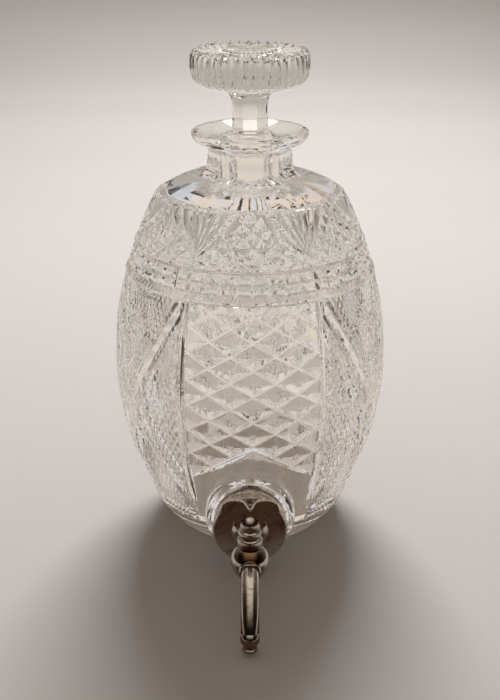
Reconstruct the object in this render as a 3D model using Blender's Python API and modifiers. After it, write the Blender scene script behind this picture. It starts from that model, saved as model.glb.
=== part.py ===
"""Cut glass spirit decanter with a star-cut stopper and a silver-plated plug tap.

Metres, +Z up. The jar stands on z = 0 round the Z axis, and the tap points along -Y.
Angles round the jar are measured from the tap towards +X.
"""

from math import atan2, cos, pi, radians, sin, sqrt

import bmesh
import bpy
from mathutils import Vector

# Jar, outside
BODY_RADIUS = 0.0893
BODY_HEIGHT = 0.2360
FOOT_RADIUS = 0.0530
FOOT_RIM_HEIGHT = 0.0120
FOOT_CHAMFER = 0.0012
NECK_RADIUS = 0.0250
NECK_FOOT_RADIUS = 0.0285
NECK_HEIGHT = 0.0165
LIP_RADIUS = 0.0375
LIP_HEIGHT = 0.0130

# Jar, inside
WALL = 0.0070
BASE_THICKNESS = 0.0125
FUNNEL_RADIUS = 0.0335
FUNNEL_DEPTH = 0.0060
OVERRUN = 0.0100

# Cutting of the jar
PANELS = 6
PATTERN_TURN = radians(1.2)
LATTICE_ROWS_ABOVE = 6
LATTICE_ROWS_BELOW = 6
HOBNAIL_ROWS = 6
GABLE_ROW = -4
LATTICE_HALF_COLUMNS = 3
LATTICE_HALF_ANGLE = radians(27.5)
MITRE_DEPTH = 0.0024
HOBNAIL_DEPTH = 0.0012
BAND_HEIGHT = 0.0217
HOOP_WIDTH = 0.0026
HOOP_RISE = 0.0008
BLOCKS_PER_PANEL = 8
BLOCK_DEPTH = 0.0022
FAN_HEIGHT = 0.0290
SHOULDER_HEIGHT = 0.0098
FAN_STEPS = 4
FAN_RAYS = 5
FAN_NARROW = radians(3.0)
FAN_WIDE = radians(18.0)
FAN_DEPTH = 0.0014

# Stopper
HEAD_RADIUS = 0.0375
HEAD_RISE = 0.0280
HEAD_HEIGHT = 0.0235
FLUTES = 36
FLUTE_DEPTH = 0.0011
STEM_RADIUS = 0.0122
STEM_FACETS = 8
STEM_COLLAR_RADIUS = 0.0146
STEM_COLLAR_HEIGHT = 0.0022
PLUG_TOP_RADIUS = 0.0142
PLUG_BOTTOM_RADIUS = 0.0134
PLUG_LENGTH = 0.0265

# Tap, with reaches measured forwards from the axis of the jar
TAP_HEIGHT = 0.0334
BOSS_RISE = 0.0031
BOSS_RADIUS = 0.0253
BOSS_ROOT_RADIUS = 0.0288
BOSS_CHAMFER = 0.0032
GAP = 0.0003
BOSS_WASHER_THICKNESS = 0.0012
COLLAR_RADIUS = 0.0231
COLLAR_DEPTH = 0.0125
COLLAR_WALL = 0.0013
COLLAR_FACE = 0.0018
SHANK_RADIUS = 0.0048
SHANK_TAIL = 0.0040
JAR_BORE_RADIUS = 0.0060
WATERWAY_RADIUS = 0.0024
TRUMPET_RADIUS = 0.0112
TRUMPET_NECK_RADIUS = 0.0074
BALL_RADIUS = 0.0118
TRUMPET_LENGTH = 0.0360
SPIGOT_RADIUS = 0.0034
SPIGOT_LENGTH = 0.0046

# Inner fixings
SPOT_FACE_DEPTH = 0.0020
SPOT_FACE_RADIUS = 0.0138
INNER_DISC_RADIUS = 0.0122
INNER_WASHER_THICKNESS = 0.0022
INNER_PLATE_THICKNESS = 0.0012
INNER_NUT_RADIUS = 0.0086
INNER_NUT_THICKNESS = 0.0050

# Plug of the tap
SEAT_HALF_HEIGHT = 0.0096
KEY_TOP_RADIUS = 0.0052
KEY_BOTTOM_RADIUS = 0.0043
KEY_PORT_RADIUS = 0.0019
KEY_RING_RADIUS = 0.0077
KEY_RING_HEIGHT = 0.0068
KEY_BEAD_RADIUS = 0.0070
KEY_BEAD_HEIGHT = 0.0048
KEY_DOME_RADIUS = 0.0062
KEY_DOME_HEIGHT = 0.0094
KEY_TAIL_RADIUS = 0.0016
KEY_TAIL_LENGTH = 0.0052
KEY_WASHER_RADIUS = 0.0050
KEY_WASHER_THICKNESS = 0.0008
KEY_NUT_RADIUS = 0.0042
KEY_NUT_THICKNESS = 0.0028

# Thumb-piece
HEART_WIDTH = 0.0342
HEART_HEIGHT = 0.0190
HEART_THICKNESS = 0.0034
HEART_EDGE = 0.0009
HEART_FOOT_DEPTH = 0.0008

# Spout
TUBE_RADIUS = 0.0054
TUBE_WALL = 0.0017
TUBE_LEAD = 0.0040
TUBE_BEND_RADIUS = 0.0340
TUBE_BEND = radians(66.0)
FERRULE_RADIUS = 0.0067
FERRULE_LENGTH = 0.0040
KNUCKLE_RADIUS = 0.0056
NOZZLE_RADIUS = 0.0040
NOZZLE_BEAD_RADIUS = 0.0047
NOZZLE_BEAD_HEIGHT = 0.0018
NOZZLE_TIP_HEIGHT = 0.0030

# Facets
JAR_COLUMNS = PANELS * (2 * LATTICE_HALF_COLUMNS + 2)
BAND_COLUMNS = PANELS * BLOCKS_PER_PANEL * 2
CAVITY_STEPS = 32
ROUND_STEPS = 48
SMALL_STEPS = 20
MERGE = 0.00001
SHARP_ANGLE = radians(24)

# Heights of the first and last rows of cuts, as shares of a row
FIRST_ROW_SHARE = 0.55
LAST_ROW_SHARE = 0.68

# Outline of the jar, as shares of BODY_HEIGHT and BODY_RADIUS, foot to shoulder
OUTLINE_SHARES = (
    (0.000, 0.600), (0.051, 0.700), (0.127, 0.785), (0.212, 0.876), (0.318, 0.958),
    (0.425, 0.997), (0.500, 1.000), (0.560, 0.993), (0.637, 0.970), (0.743, 0.905),
    (0.807, 0.850), (0.870, 0.787), (0.934, 0.712), (0.968, 0.625), (0.988, 0.520),
    (1.000, 0.380),
)

# Underside and rim of the lip, as shares of its flare (neck to rim) and of its height
LIP_SHARES = (
    (0.02, 0.06), (0.22, 0.26), (0.60, 0.42), (0.88, 0.60), (1.00, 0.80), (0.96, 0.95),
    (0.84, 1.00),
)

# Thumb-piece, right half, as shares of half its width and of its height
HEART_SHARES = (
    (0.00, 0.64), (0.20, 0.90), (0.50, 1.00), (0.83, 0.93), (1.00, 0.73), (0.91, 0.56),
    (0.62, 0.36), (0.30, 0.00),
)

parts = bpy.data.collections.new("decanter_with_tap")
cutters = bpy.data.collections.new("cutters")


def clear_scene():
    for old in list(bpy.data.objects):
        bpy.data.objects.remove(old, do_unlink=True)
    bpy.context.scene.collection.children.link(parts)
    bpy.context.scene.collection.children.link(cutters)


def principled(name, colour, roughness, metallic=0.0, transmission=0.0):
    material = bpy.data.materials.new(name)
    material.use_nodes = True
    shader = material.node_tree.nodes["Principled BSDF"]
    shader.inputs["Base Color"].default_value = (*colour, 1.0)
    shader.inputs["Roughness"].default_value = roughness
    shader.inputs["Metallic"].default_value = metallic
    shader.inputs["Transmission Weight"].default_value = transmission
    return material


def add_piece(name, mesh, material):
    piece = bpy.data.objects.new(name, mesh)
    mesh.materials.append(material)
    mesh.shade_smooth()
    mesh.set_sharp_from_angle(angle=SHARP_ANGLE)
    parts.objects.link(piece)
    return piece


def make_cutter(cutter):
    for home in list(cutter.users_collection):
        home.objects.unlink(cutter)
    cutters.objects.link(cutter)
    cutter.hide_render = True
    cutter.display_type = "WIRE"
    return cutter


def profile_mesh(name, profile, closed):
    """An outline of (radius, height) points in the XZ plane, for a Screw modifier."""
    mesh = bpy.data.meshes.new(name)
    count = len(profile)
    edges = [(index, index + 1) for index in range(count - 1)]
    if closed:
        edges.append((count - 1, 0))
    mesh.from_pydata([(radius, 0.0, height) for radius, height in profile], edges, [])
    return mesh


def turned(name, profile, material, steps=SMALL_STEPS, closed=False):
    """A turned solid: the profile runs down its outer side, from top to bottom."""
    piece = add_piece(name, profile_mesh(name, profile, closed), material)
    screw = piece.modifiers.new("turn", "SCREW")
    screw.steps = steps
    screw.render_steps = steps
    screw.use_merge_vertices = True
    screw.merge_threshold = MERGE
    screw.use_smooth_shade = True
    return piece


def rod(name, radius, bottom, top, steps=SMALL_STEPS):
    """A plain round cutter along Z."""
    profile = [(0.0, top), (radius, top), (radius, bottom), (0.0, bottom)]
    return make_cutter(turned(name, profile, STEEL, steps))


def washer_profile(inner, outer, bottom, top):
    return [(inner, top), (outer, top), (outer, bottom), (inner, bottom)]


def face_forwards(piece, height=TAP_HEIGHT):
    """Turn a piece made along Z so that its Z runs forwards, out of the jar."""
    piece.rotation_euler = (pi / 2, 0.0, 0.0)
    piece.location = (0.0, 0.0, height)
    return piece


def hexagon_nut(name, radius, bottom, top, hole_radius):
    """A six-sided nut along Z, its hole cut, with the hole's cutter beside it."""
    profile = [(0.0, top), (radius, top), (radius, bottom), (0.0, bottom)]
    nut = turned(name, profile, SILVER, 6)
    hole = rod(name + "_hole", hole_radius, bottom - OVERRUN, top + OVERRUN)
    boolean(nut, hole, "DIFFERENCE")
    return nut, hole


def stand_on_key_axis(piece):
    piece.location = (0.0, -BALL_REACH, TAP_HEIGHT)
    return piece


def boolean(piece, cutter, operation):
    change = piece.modifiers.new(cutter.name, "BOOLEAN")
    change.operation = operation
    change.object = cutter
    change.solver = "EXACT"


def arc(centre, radius, start, end, count):
    """Points on an arc of a profile, from angle start to end, measured from +radius."""
    centre_radius, centre_height = centre
    points = []
    for index in range(count + 1):
        angle = start + (end - start) * index / count
        points.append((centre_radius + radius * cos(angle), centre_height + radius * sin(angle)))
    return points


def smooth_value(shares, position):
    """Catmull-Rom curve through (position, value) shares."""
    last = len(shares) - 2
    index = 0
    while index < last and position > shares[index + 1][0]:
        index += 1
    start, end = shares[index], shares[index + 1]
    before = shares[max(index - 1, 0)]
    after = shares[min(index + 2, last + 1)]
    span = end[0] - start[0]
    step = min(max((position - start[0]) / span, 0.0), 1.0)
    slope_start = (end[1] - before[1]) / (end[0] - before[0]) * span
    slope_end = (after[1] - start[1]) / (after[0] - start[0]) * span
    square, cube = step * step, step ** 3
    return (
        (2 * cube - 3 * square + 1) * start[1]
        + (cube - 2 * square + step) * slope_start
        + (3 * square - 2 * cube) * end[1]
        + (cube - square) * slope_end
    )


def jar_radius(height):
    return BODY_RADIUS * smooth_value(OUTLINE_SHARES, height / BODY_HEIGHT)


def even_angles(count):
    return [2 * pi * index / count + PATTERN_TURN for index in range(count)]


class Skin:
    """A closed surface laid ring by ring from the bottom up, between unlike sections."""

    def __init__(self):
        self.mesh = bmesh.new()
        self.rings = []

    def ring(self, height, radii, angles, diagonals=None):
        """Add a ring, whose points are first put in order from the seam round."""
        seam = PATTERN_TURN - pi / PANELS - MERGE
        turns = [seam + (angle - seam) % (2 * pi) for angle in angles]
        order = sorted(range(len(turns)), key=turns.__getitem__)
        angles = [turns[index] for index in order]
        if diagonals:
            diagonals = [diagonals[index] for index in order]
        vertices = []
        for index, angle in zip(order, angles):
            place = (radii[index] * sin(angle), -radii[index] * cos(angle), height)
            vertices.append(self.mesh.verts.new(place))
        if self.rings:
            lower, lower_angles = self.rings[-1]
            if len(lower) == len(vertices):
                self.join_cells(lower, vertices, diagonals)
            else:
                self.join_unlike(lower, lower_angles, vertices, angles)
        self.rings.append((vertices, angles))

    def round_ring(self, height, radius, count):
        self.ring(height, [radius] * count, even_angles(count))

    def join_cells(self, lower, upper, diagonals):
        count = len(lower)
        for index in range(count):
            following = (index + 1) % count
            left, right = lower[index], lower[following]
            top_right, top_left = upper[following], upper[index]
            if diagonals is None or diagonals[index]:
                self.mesh.faces.new((left, right, top_right))
                self.mesh.faces.new((left, top_right, top_left))
            else:
                self.mesh.faces.new((left, right, top_left))
                self.mesh.faces.new((right, top_right, top_left))

    def join_unlike(self, lower, lower_angles, upper, upper_angles):
        """Triangles between rings of unlike counts, always stepping on the ring behind."""
        low, high = 0, 0
        turn = 2 * pi
        while low < len(lower) or high < len(upper):
            next_low = lower_angles[(low + 1) % len(lower)] + turn * ((low + 1) // len(lower))
            next_high = upper_angles[(high + 1) % len(upper)] + turn * ((high + 1) // len(upper))
            left = lower[low % len(lower)]
            top_left = upper[high % len(upper)]
            if high >= len(upper) or (low < len(lower) and next_low <= next_high):
                self.mesh.faces.new((left, lower[(low + 1) % len(lower)], top_left))
                low += 1
            else:
                self.mesh.faces.new((left, upper[(high + 1) % len(upper)], top_left))
                high += 1

    def finish(self, name):
        self.mesh.faces.new(reversed(self.rings[0][0]))
        self.mesh.faces.new(self.rings[-1][0])
        mesh = bpy.data.meshes.new(name)
        self.mesh.to_mesh(mesh)
        self.mesh.free()
        return mesh


def lattice_columns():
    """Columns of one panel, (index, angle): the diamonds and the rib on the panel's right."""
    half_column = LATTICE_HALF_ANGLE / LATTICE_HALF_COLUMNS
    reach = range(-LATTICE_HALF_COLUMNS, LATTICE_HALF_COLUMNS + 1)
    columns = [(index, index * half_column) for index in reach]
    columns.append((LATTICE_HALF_COLUMNS + 1, pi / PANELS))
    return columns


def diamond_depth(column, row):
    """Cutting depth of the diamond lattice, which ends in a gable over a plain field."""
    if abs(column) < GABLE_ROW - row:
        return 0.0
    return MITRE_DEPTH if (column + row) % 2 == 0 else 0.0


def star_depth(column, row):
    """Cutting depth of the panels with large crossed mitres round eight-pointed stars."""
    period = 2 * LATTICE_HALF_COLUMNS
    if (column - row) % period == 0 or (column + row) % period == 0:
        return MITRE_DEPTH
    if column == 0 and row % period == LATTICE_HALF_COLUMNS:
        return HOBNAIL_DEPTH
    return HOBNAIL_DEPTH / 2 if (column + row) % 2 == 0 else 0.0


def cut_depth(panel, column, row):
    if column > LATTICE_HALF_COLUMNS:
        return 0.0
    if abs(column) == LATTICE_HALF_COLUMNS:
        return MITRE_DEPTH
    if row < -LATTICE_ROWS_BELOW and panel % 2 == 1:
        return HOBNAIL_DEPTH if (column + row) % 2 == 0 else 0.0
    return diamond_depth(column, row) if panel % 2 == 0 else star_depth(column, row)


def add_lattice(skin):
    """Foot rim, hobnail rows and diamond rows, whose creases follow the mitre cuts."""
    bottom_row = -LATTICE_ROWS_BELOW - HOBNAIL_ROWS
    for row in range(bottom_row, LATTICE_ROWS_ABOVE + 1):
        height = FOOT_RIM_HEIGHT + (row - bottom_row + FIRST_ROW_SHARE) * LATTICE_ROW
        radii, angles, diagonals = [], [], []
        for panel in range(PANELS):
            for column, offset in lattice_columns():
                radii.append(jar_radius(height) - cut_depth(panel, column, row))
                angles.append(PATTERN_TURN + 2 * pi * panel / PANELS + offset)
                diagonals.append((column + row - 1) % 2 == 0)
        skin.ring(height, radii, angles, diagonals)


def add_band(skin):
    """Two rows of square blocks between two plain raised hoops."""
    angles = even_angles(BAND_COLUMNS)
    first_groove = BAND_BOTTOM + HOOP_WIDTH + HOOP_RISE
    last_groove = BAND_TOP - HOOP_WIDTH - HOOP_RISE
    block = (last_groove - first_groove) / 2
    for height in (BAND_BOTTOM, BAND_BOTTOM + HOOP_WIDTH):
        skin.ring(height, [jar_radius(height) + HOOP_RISE] * BAND_COLUMNS, angles)
    for step in range(5):
        height = first_groove + step * block / 2
        radii = []
        for column in range(BAND_COLUMNS):
            raised = step % 2 == 1 and column % 2 == 1
            radii.append(jar_radius(height) - (0.0 if raised else BLOCK_DEPTH))
        skin.ring(height, radii, angles, [(column + step) % 2 == 0 for column in range(BAND_COLUMNS)])
    for height in (BAND_TOP - HOOP_WIDTH, BAND_TOP):
        skin.ring(height, [jar_radius(height) + HOOP_RISE] * BAND_COLUMNS, angles)


def fan_angles(spread):
    """One fan of rays on each panel edge, and evenly spaced columns between the fans."""
    between = BAND_COLUMNS // PANELS - 2 * FAN_RAYS - 1
    panel = 2 * pi / PANELS
    free = (panel - 2 * spread) / (between + 1)
    angles = []
    for index in range(PANELS):
        edge = PATTERN_TURN + panel * (index + 0.5) - panel
        for ray in range(-FAN_RAYS, FAN_RAYS + 1):
            angles.append(edge + spread * ray / FAN_RAYS)
        for column in range(1, between + 1):
            angles.append(edge + spread + free * column)
    return angles


def add_fans(skin):
    """Rays that spread upwards from the corners of the panels, above the band."""
    bottom = BAND_TOP + HOOP_RISE
    for step in range(FAN_STEPS + 1):
        share = step / FAN_STEPS
        height = bottom + (FAN_TOP - bottom) * share
        angles = fan_angles(FAN_NARROW + (FAN_WIDE - FAN_NARROW) * share)
        depth = 0.0 if step == FAN_STEPS else FAN_DEPTH * (0.6 + share)
        radii = []
        for column in range(BAND_COLUMNS):
            radii.append(jar_radius(height) - (depth if column % 2 == 0 else 0.0))
        skin.ring(height, radii, angles)


def facet_radius(radius, angle, facets):
    """Radius of a regular polygon with a flat towards the tap, at an angle round it."""
    pitch = 2 * pi / facets
    offset = (angle - PATTERN_TURN + pitch / 2) % pitch - pitch / 2
    return radius * cos(pitch / 2) / cos(offset)


def add_neck(skin):
    """Polished shoulder, six-sided neck and round everted lip."""
    angles = even_angles(JAR_COLUMNS)
    for share in (0.978, 0.992):
        height = BODY_HEIGHT * share
        skin.round_ring(height, jar_radius(height), JAR_COLUMNS)
    for height, radius in (
        (BODY_HEIGHT, NECK_FOOT_RADIUS),
        (BODY_HEIGHT + NECK_FOOT_RADIUS - NECK_RADIUS, NECK_RADIUS),
        (BODY_HEIGHT + NECK_HEIGHT, NECK_RADIUS),
    ):
        radii = [facet_radius(radius, angle, PANELS) for angle in angles]
        skin.ring(height, radii, angles)
    lip_bottom = BODY_HEIGHT + NECK_HEIGHT
    for flare_share, height_share in LIP_SHARES:
        radius = NECK_RADIUS + (LIP_RADIUS - NECK_RADIUS) * flare_share
        skin.round_ring(lip_bottom + LIP_HEIGHT * height_share, radius, JAR_COLUMNS)


def plug_radius(height):
    """Radius of the stopper's ground plug, which tapers with the neck's bore."""
    share = (height - PLUG_BOTTOM) / PLUG_LENGTH
    return PLUG_BOTTOM_RADIUS + (PLUG_TOP_RADIUS - PLUG_BOTTOM_RADIUS) * share


def cavity_profile():
    """Inside of the jar, from above the lip down to the middle of the floor."""
    profile = [(0.0, LIP_TOP + OVERRUN), (FUNNEL_RADIUS + OVERRUN, LIP_TOP + OVERRUN)]
    profile.append((FUNNEL_RADIUS, LIP_TOP - GAP))
    profile.append((PLUG_TOP_RADIUS + FUNNEL_DEPTH, LIP_TOP - FUNNEL_DEPTH * 0.75))
    for height in (PLUG_BOTTOM + PLUG_LENGTH, PLUG_BOTTOM):
        profile.append((plug_radius(height) + GAP, height))
    profile.append((PLUG_BOTTOM_RADIUS + WALL / 2, BODY_HEIGHT - WALL * 0.75))
    for share in (0.930, 0.880, 0.800, 0.700, 0.600, 0.500, 0.400, 0.300, 0.210, 0.130):
        height = BODY_HEIGHT * share
        inset = WALL * (1.5 if share > 0.9 else 1.0)
        profile.append((jar_radius(height) - inset, height))
    floor_radius = jar_radius(BASE_THICKNESS) - WALL
    profile.append((floor_radius, BASE_THICKNESS + WALL / 2))
    profile.append((floor_radius - WALL / 2, BASE_THICKNESS))
    profile.append((0.0, BASE_THICKNESS))
    return profile


def make_bottle():
    skin = Skin()
    skin.round_ring(0.0, FOOT_RADIUS - FOOT_CHAMFER, JAR_COLUMNS)
    skin.round_ring(FOOT_CHAMFER, FOOT_RADIUS, JAR_COLUMNS)
    skin.round_ring(FOOT_RIM_HEIGHT, jar_radius(FOOT_RIM_HEIGHT), JAR_COLUMNS)
    add_lattice(skin)
    add_band(skin)
    add_fans(skin)
    add_neck(skin)
    bottle = add_piece("bottle", skin.finish("bottle"), GLASS)

    boss_profile = [
        (0.0, BOSS_REACH),
        (BOSS_RADIUS, BOSS_REACH),
        (BOSS_ROOT_RADIUS, BOSS_REACH - BOSS_CHAMFER),
        (BOSS_ROOT_RADIUS, FOOT_RADIUS / 2),
        (0.0, FOOT_RADIUS / 2),
    ]
    boss = make_cutter(face_forwards(turned("tap_boss", boss_profile, GLASS, ROUND_STEPS)))
    boolean(bottle, boss, "UNION")
    cavity = make_cutter(turned("cavity", cavity_profile(), GLASS, CAVITY_STEPS))
    boolean(bottle, cavity, "DIFFERENCE")
    spot_face = rod("spot_face", SPOT_FACE_RADIUS, SHANK_END_REACH, SPOT_FACE_REACH)
    boolean(bottle, face_forwards(spot_face), "DIFFERENCE")
    bore = rod("tap_bore", JAR_BORE_RADIUS, SHANK_END_REACH, BOSS_REACH + OVERRUN)
    boolean(bottle, face_forwards(bore), "DIFFERENCE")


def add_fluted_head(skin):
    """Thick disc with upright flutes on its rim and a star cut into its top."""
    columns = 2 * FLUTES
    angles = even_angles(columns)
    scallop = FLUTE_DEPTH * 2
    rows = (
        (0.00, 0.80, 0.0), (0.10, 0.94, FLUTE_DEPTH), (0.24, 1.00, FLUTE_DEPTH),
        (0.80, 1.00, FLUTE_DEPTH), (0.92, 0.95, FLUTE_DEPTH), (0.96, 0.80, scallop),
        (0.92, 0.52, 0.0), (1.00, 0.44, scallop),
    )
    for height_share, radius_share, depth in rows:
        radii = []
        for column in range(columns):
            groove = depth if column % 2 == 0 else 0.0
            radii.append(HEAD_RADIUS * radius_share - groove)
        skin.ring(HEAD_BOTTOM + HEAD_HEIGHT * height_share, radii, angles)


def make_stopper():
    skin = Skin()
    collar_bottom = PLUG_BOTTOM + PLUG_LENGTH
    rounding = PLUG_TOP_RADIUS - STEM_RADIUS
    skin.round_ring(PLUG_BOTTOM, PLUG_BOTTOM_RADIUS - rounding, CAVITY_STEPS)
    for height in (PLUG_BOTTOM + rounding, collar_bottom):
        skin.round_ring(height, plug_radius(height), CAVITY_STEPS)
    for height in (collar_bottom + GAP, collar_bottom + STEM_COLLAR_HEIGHT):
        skin.round_ring(height, STEM_COLLAR_RADIUS, CAVITY_STEPS)
    stem_bottom = collar_bottom + STEM_COLLAR_HEIGHT + rounding
    stem_angles = even_angles(2 * STEM_FACETS)
    waist_share = 0.94
    for height, share in (
        (stem_bottom, 1.0),
        ((stem_bottom + HEAD_BOTTOM) / 2, waist_share),
        (HEAD_BOTTOM - STEM_RADIUS / 2, 1.0),
        (HEAD_BOTTOM - STEM_RADIUS / 3, 1.10),
    ):
        radii = [facet_radius(STEM_RADIUS * share, angle, STEM_FACETS) for angle in stem_angles]
        skin.ring(height, radii, stem_angles)
    add_fluted_head(skin)
    add_piece("stopper", skin.finish("stopper"), GLASS)


def make_collar_and_washer():
    """Milled silver cup in front of the glass boss, on a cork washer."""
    washer_profile_points = washer_profile(
        JAR_BORE_RADIUS, COLLAR_RADIUS, WASHER_BACK, WASHER_BACK + BOSS_WASHER_THICKNESS
    )
    face_forwards(turned("boss_washer", washer_profile_points, CORK, ROUND_STEPS, closed=True))
    inner = COLLAR_RADIUS - COLLAR_WALL
    hub = SHANK_RADIUS + GAP
    edge = COLLAR_WALL / 3
    cup = [
        (hub, COLLAR_FRONT),
        (COLLAR_RADIUS - edge, COLLAR_FRONT),
        (COLLAR_RADIUS, COLLAR_FRONT - edge),
        (COLLAR_RADIUS, COLLAR_BACK),
        (inner, COLLAR_BACK),
        (inner, COLLAR_FRONT - COLLAR_FACE),
        (hub, COLLAR_FRONT - COLLAR_FACE),
    ]
    face_forwards(turned("tap_collar", cup, SILVER, ROUND_STEPS, closed=True))


def make_tap_body():
    """Shank, trumpet neck, ball with its tapered seat, and the spout's spigot."""
    foot = COLLAR_FRONT + GAP
    ball_back = pi - atan2(TRUMPET_NECK_RADIUS, BALL_RADIUS)
    spigot_root = SPIGOT_RADIUS + TUBE_WALL
    front_angle = atan2(spigot_root, sqrt(BALL_RADIUS ** 2 - spigot_root ** 2))
    ball_front = BALL_REACH + BALL_RADIUS * cos(front_angle)
    profile = [
        (0.0, ball_front + SPIGOT_LENGTH),
        (SPIGOT_RADIUS, ball_front + SPIGOT_LENGTH),
        (SPIGOT_RADIUS, ball_front),
    ]
    for radius, rise in arc((0.0, 0.0), BALL_RADIUS, pi / 2 - front_angle, pi / 2 - ball_back, 10):
        profile.append((radius, BALL_REACH + rise))
    trumpet = TRUMPET_RADIUS - TRUMPET_NECK_RADIUS
    profile += [
        (TRUMPET_NECK_RADIUS, foot + trumpet * 2.4),
        (TRUMPET_NECK_RADIUS + trumpet * 0.12, foot + trumpet * 1.2),
        (TRUMPET_NECK_RADIUS + trumpet * 0.45, foot + trumpet * 0.55),
        (TRUMPET_RADIUS, foot + trumpet * 0.30),
        (TRUMPET_RADIUS, foot),
        (SHANK_RADIUS, foot),
        (SHANK_RADIUS, SHANK_END_REACH),
        (0.0, SHANK_END_REACH),
    ]
    body = face_forwards(turned("tap_body", profile, SILVER, SMALL_STEPS + 4))

    waterway = rod("waterway", WATERWAY_RADIUS, SHANK_END_REACH - OVERRUN, BALL_REACH + 2 * OVERRUN + GAP, 16)
    boolean(body, face_forwards(waterway), "DIFFERENCE")
    seat_profile = [
        (0.0, BALL_RADIUS + OVERRUN),
        (BALL_RADIUS, BALL_RADIUS + OVERRUN),
        (BALL_RADIUS, SEAT_HALF_HEIGHT),
        (KEY_TOP_RADIUS + GAP, SEAT_HALF_HEIGHT),
        (KEY_BOTTOM_RADIUS + GAP, -SEAT_HALF_HEIGHT),
        (BALL_RADIUS, -SEAT_HALF_HEIGHT),
        (BALL_RADIUS, -BALL_RADIUS - OVERRUN),
        (0.0, -BALL_RADIUS - OVERRUN),
    ]
    seat = make_cutter(turned("key_seat", seat_profile, STEEL))
    boolean(body, stand_on_key_axis(seat), "DIFFERENCE")


def make_key():
    """Tapered plug with its cross port, two turned rings and a slotted dome."""
    ring_bottom = SEAT_HALF_HEIGHT + GAP
    bead_bottom = ring_bottom + KEY_RING_HEIGHT
    dome_bottom = bead_bottom + KEY_BEAD_HEIGHT
    groove = KEY_RING_RADIUS - KEY_BEAD_RADIUS
    profile = []
    dome_rise = KEY_DOME_HEIGHT - KEY_DOME_RADIUS
    for radius, rise in arc((0.0, 0.0), KEY_DOME_RADIUS, pi / 2, 0.0, 6):
        profile.append((radius, dome_bottom + dome_rise + rise))
    profile += [
        (KEY_DOME_RADIUS, dome_bottom + groove),
        (KEY_DOME_RADIUS - groove, dome_bottom),
        (KEY_BEAD_RADIUS - groove, dome_bottom - groove),
        (KEY_BEAD_RADIUS, dome_bottom - 2 * groove),
        (KEY_BEAD_RADIUS, bead_bottom + 2 * groove),
        (KEY_BEAD_RADIUS - groove, bead_bottom + groove),
        (KEY_BEAD_RADIUS - groove, bead_bottom),
        (KEY_RING_RADIUS, bead_bottom - groove),
        (KEY_RING_RADIUS, ring_bottom + groove),
        (KEY_RING_RADIUS - groove, ring_bottom),
        (KEY_TOP_RADIUS, ring_bottom),
        (KEY_TOP_RADIUS, SEAT_HALF_HEIGHT),
        (KEY_BOTTOM_RADIUS, -SEAT_HALF_HEIGHT),
        (KEY_TAIL_RADIUS, -SEAT_HALF_HEIGHT),
        (KEY_TAIL_RADIUS, -SEAT_HALF_HEIGHT - KEY_TAIL_LENGTH),
        (0.0, -SEAT_HALF_HEIGHT - KEY_TAIL_LENGTH),
    ]
    key = stand_on_key_axis(turned("tap_key", profile, SILVER))

    port = rod("key_port", KEY_PORT_RADIUS, -BALL_RADIUS, BALL_RADIUS, 16)
    port.rotation_euler = (0.0, pi / 2, 0.0)
    boolean(key, stand_on_key_axis(port), "DIFFERENCE")
    slot = add_box("dome_slot", 4 * KEY_DOME_RADIUS, HEART_THICKNESS + 2 * GAP, 2 * KEY_DOME_HEIGHT, STEEL)
    stand_on_key_axis(make_cutter(slot))
    slot.location.z += HEART_FOOT - GAP + KEY_DOME_HEIGHT
    boolean(key, slot, "DIFFERENCE")

    washer_top = -SEAT_HALF_HEIGHT - GAP
    nut_top = washer_top - KEY_WASHER_THICKNESS - GAP
    hole = KEY_TAIL_RADIUS + GAP
    washer = washer_profile(hole, KEY_WASHER_RADIUS, washer_top - KEY_WASHER_THICKNESS, washer_top)
    stand_on_key_axis(turned("key_washer", washer, STEEL, closed=True))
    for nut in hexagon_nut("key_nut", KEY_NUT_RADIUS, nut_top - KEY_NUT_THICKNESS, nut_top, hole):
        stand_on_key_axis(nut)


def add_box(name, width, depth, height, material):
    mesh = bpy.data.meshes.new(name)
    box = bmesh.new()
    bmesh.ops.create_cube(box, size=1.0)
    bmesh.ops.scale(box, vec=(width, depth, height), verts=box.verts)
    box.to_mesh(mesh)
    box.free()
    return add_piece(name, mesh, material)


def mesh_from_curve(curve, name, material):
    """Turn a curve object into a welded mesh piece at the same place."""
    holder = bpy.data.objects.new(name + "_curve", curve)
    parts.objects.link(holder)
    bpy.context.view_layer.update()
    evaluated = holder.evaluated_get(bpy.context.evaluated_depsgraph_get())
    mesh = bpy.data.meshes.new_from_object(evaluated)
    mesh.materials.clear()
    welded = bmesh.new()
    welded.from_mesh(mesh)
    bmesh.ops.remove_doubles(welded, verts=welded.verts, dist=MERGE)
    bmesh.ops.recalc_face_normals(welded, faces=welded.faces)
    welded.to_mesh(mesh)
    welded.free()
    bpy.data.objects.remove(holder, do_unlink=True)
    return add_piece(name, mesh, material)


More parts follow.
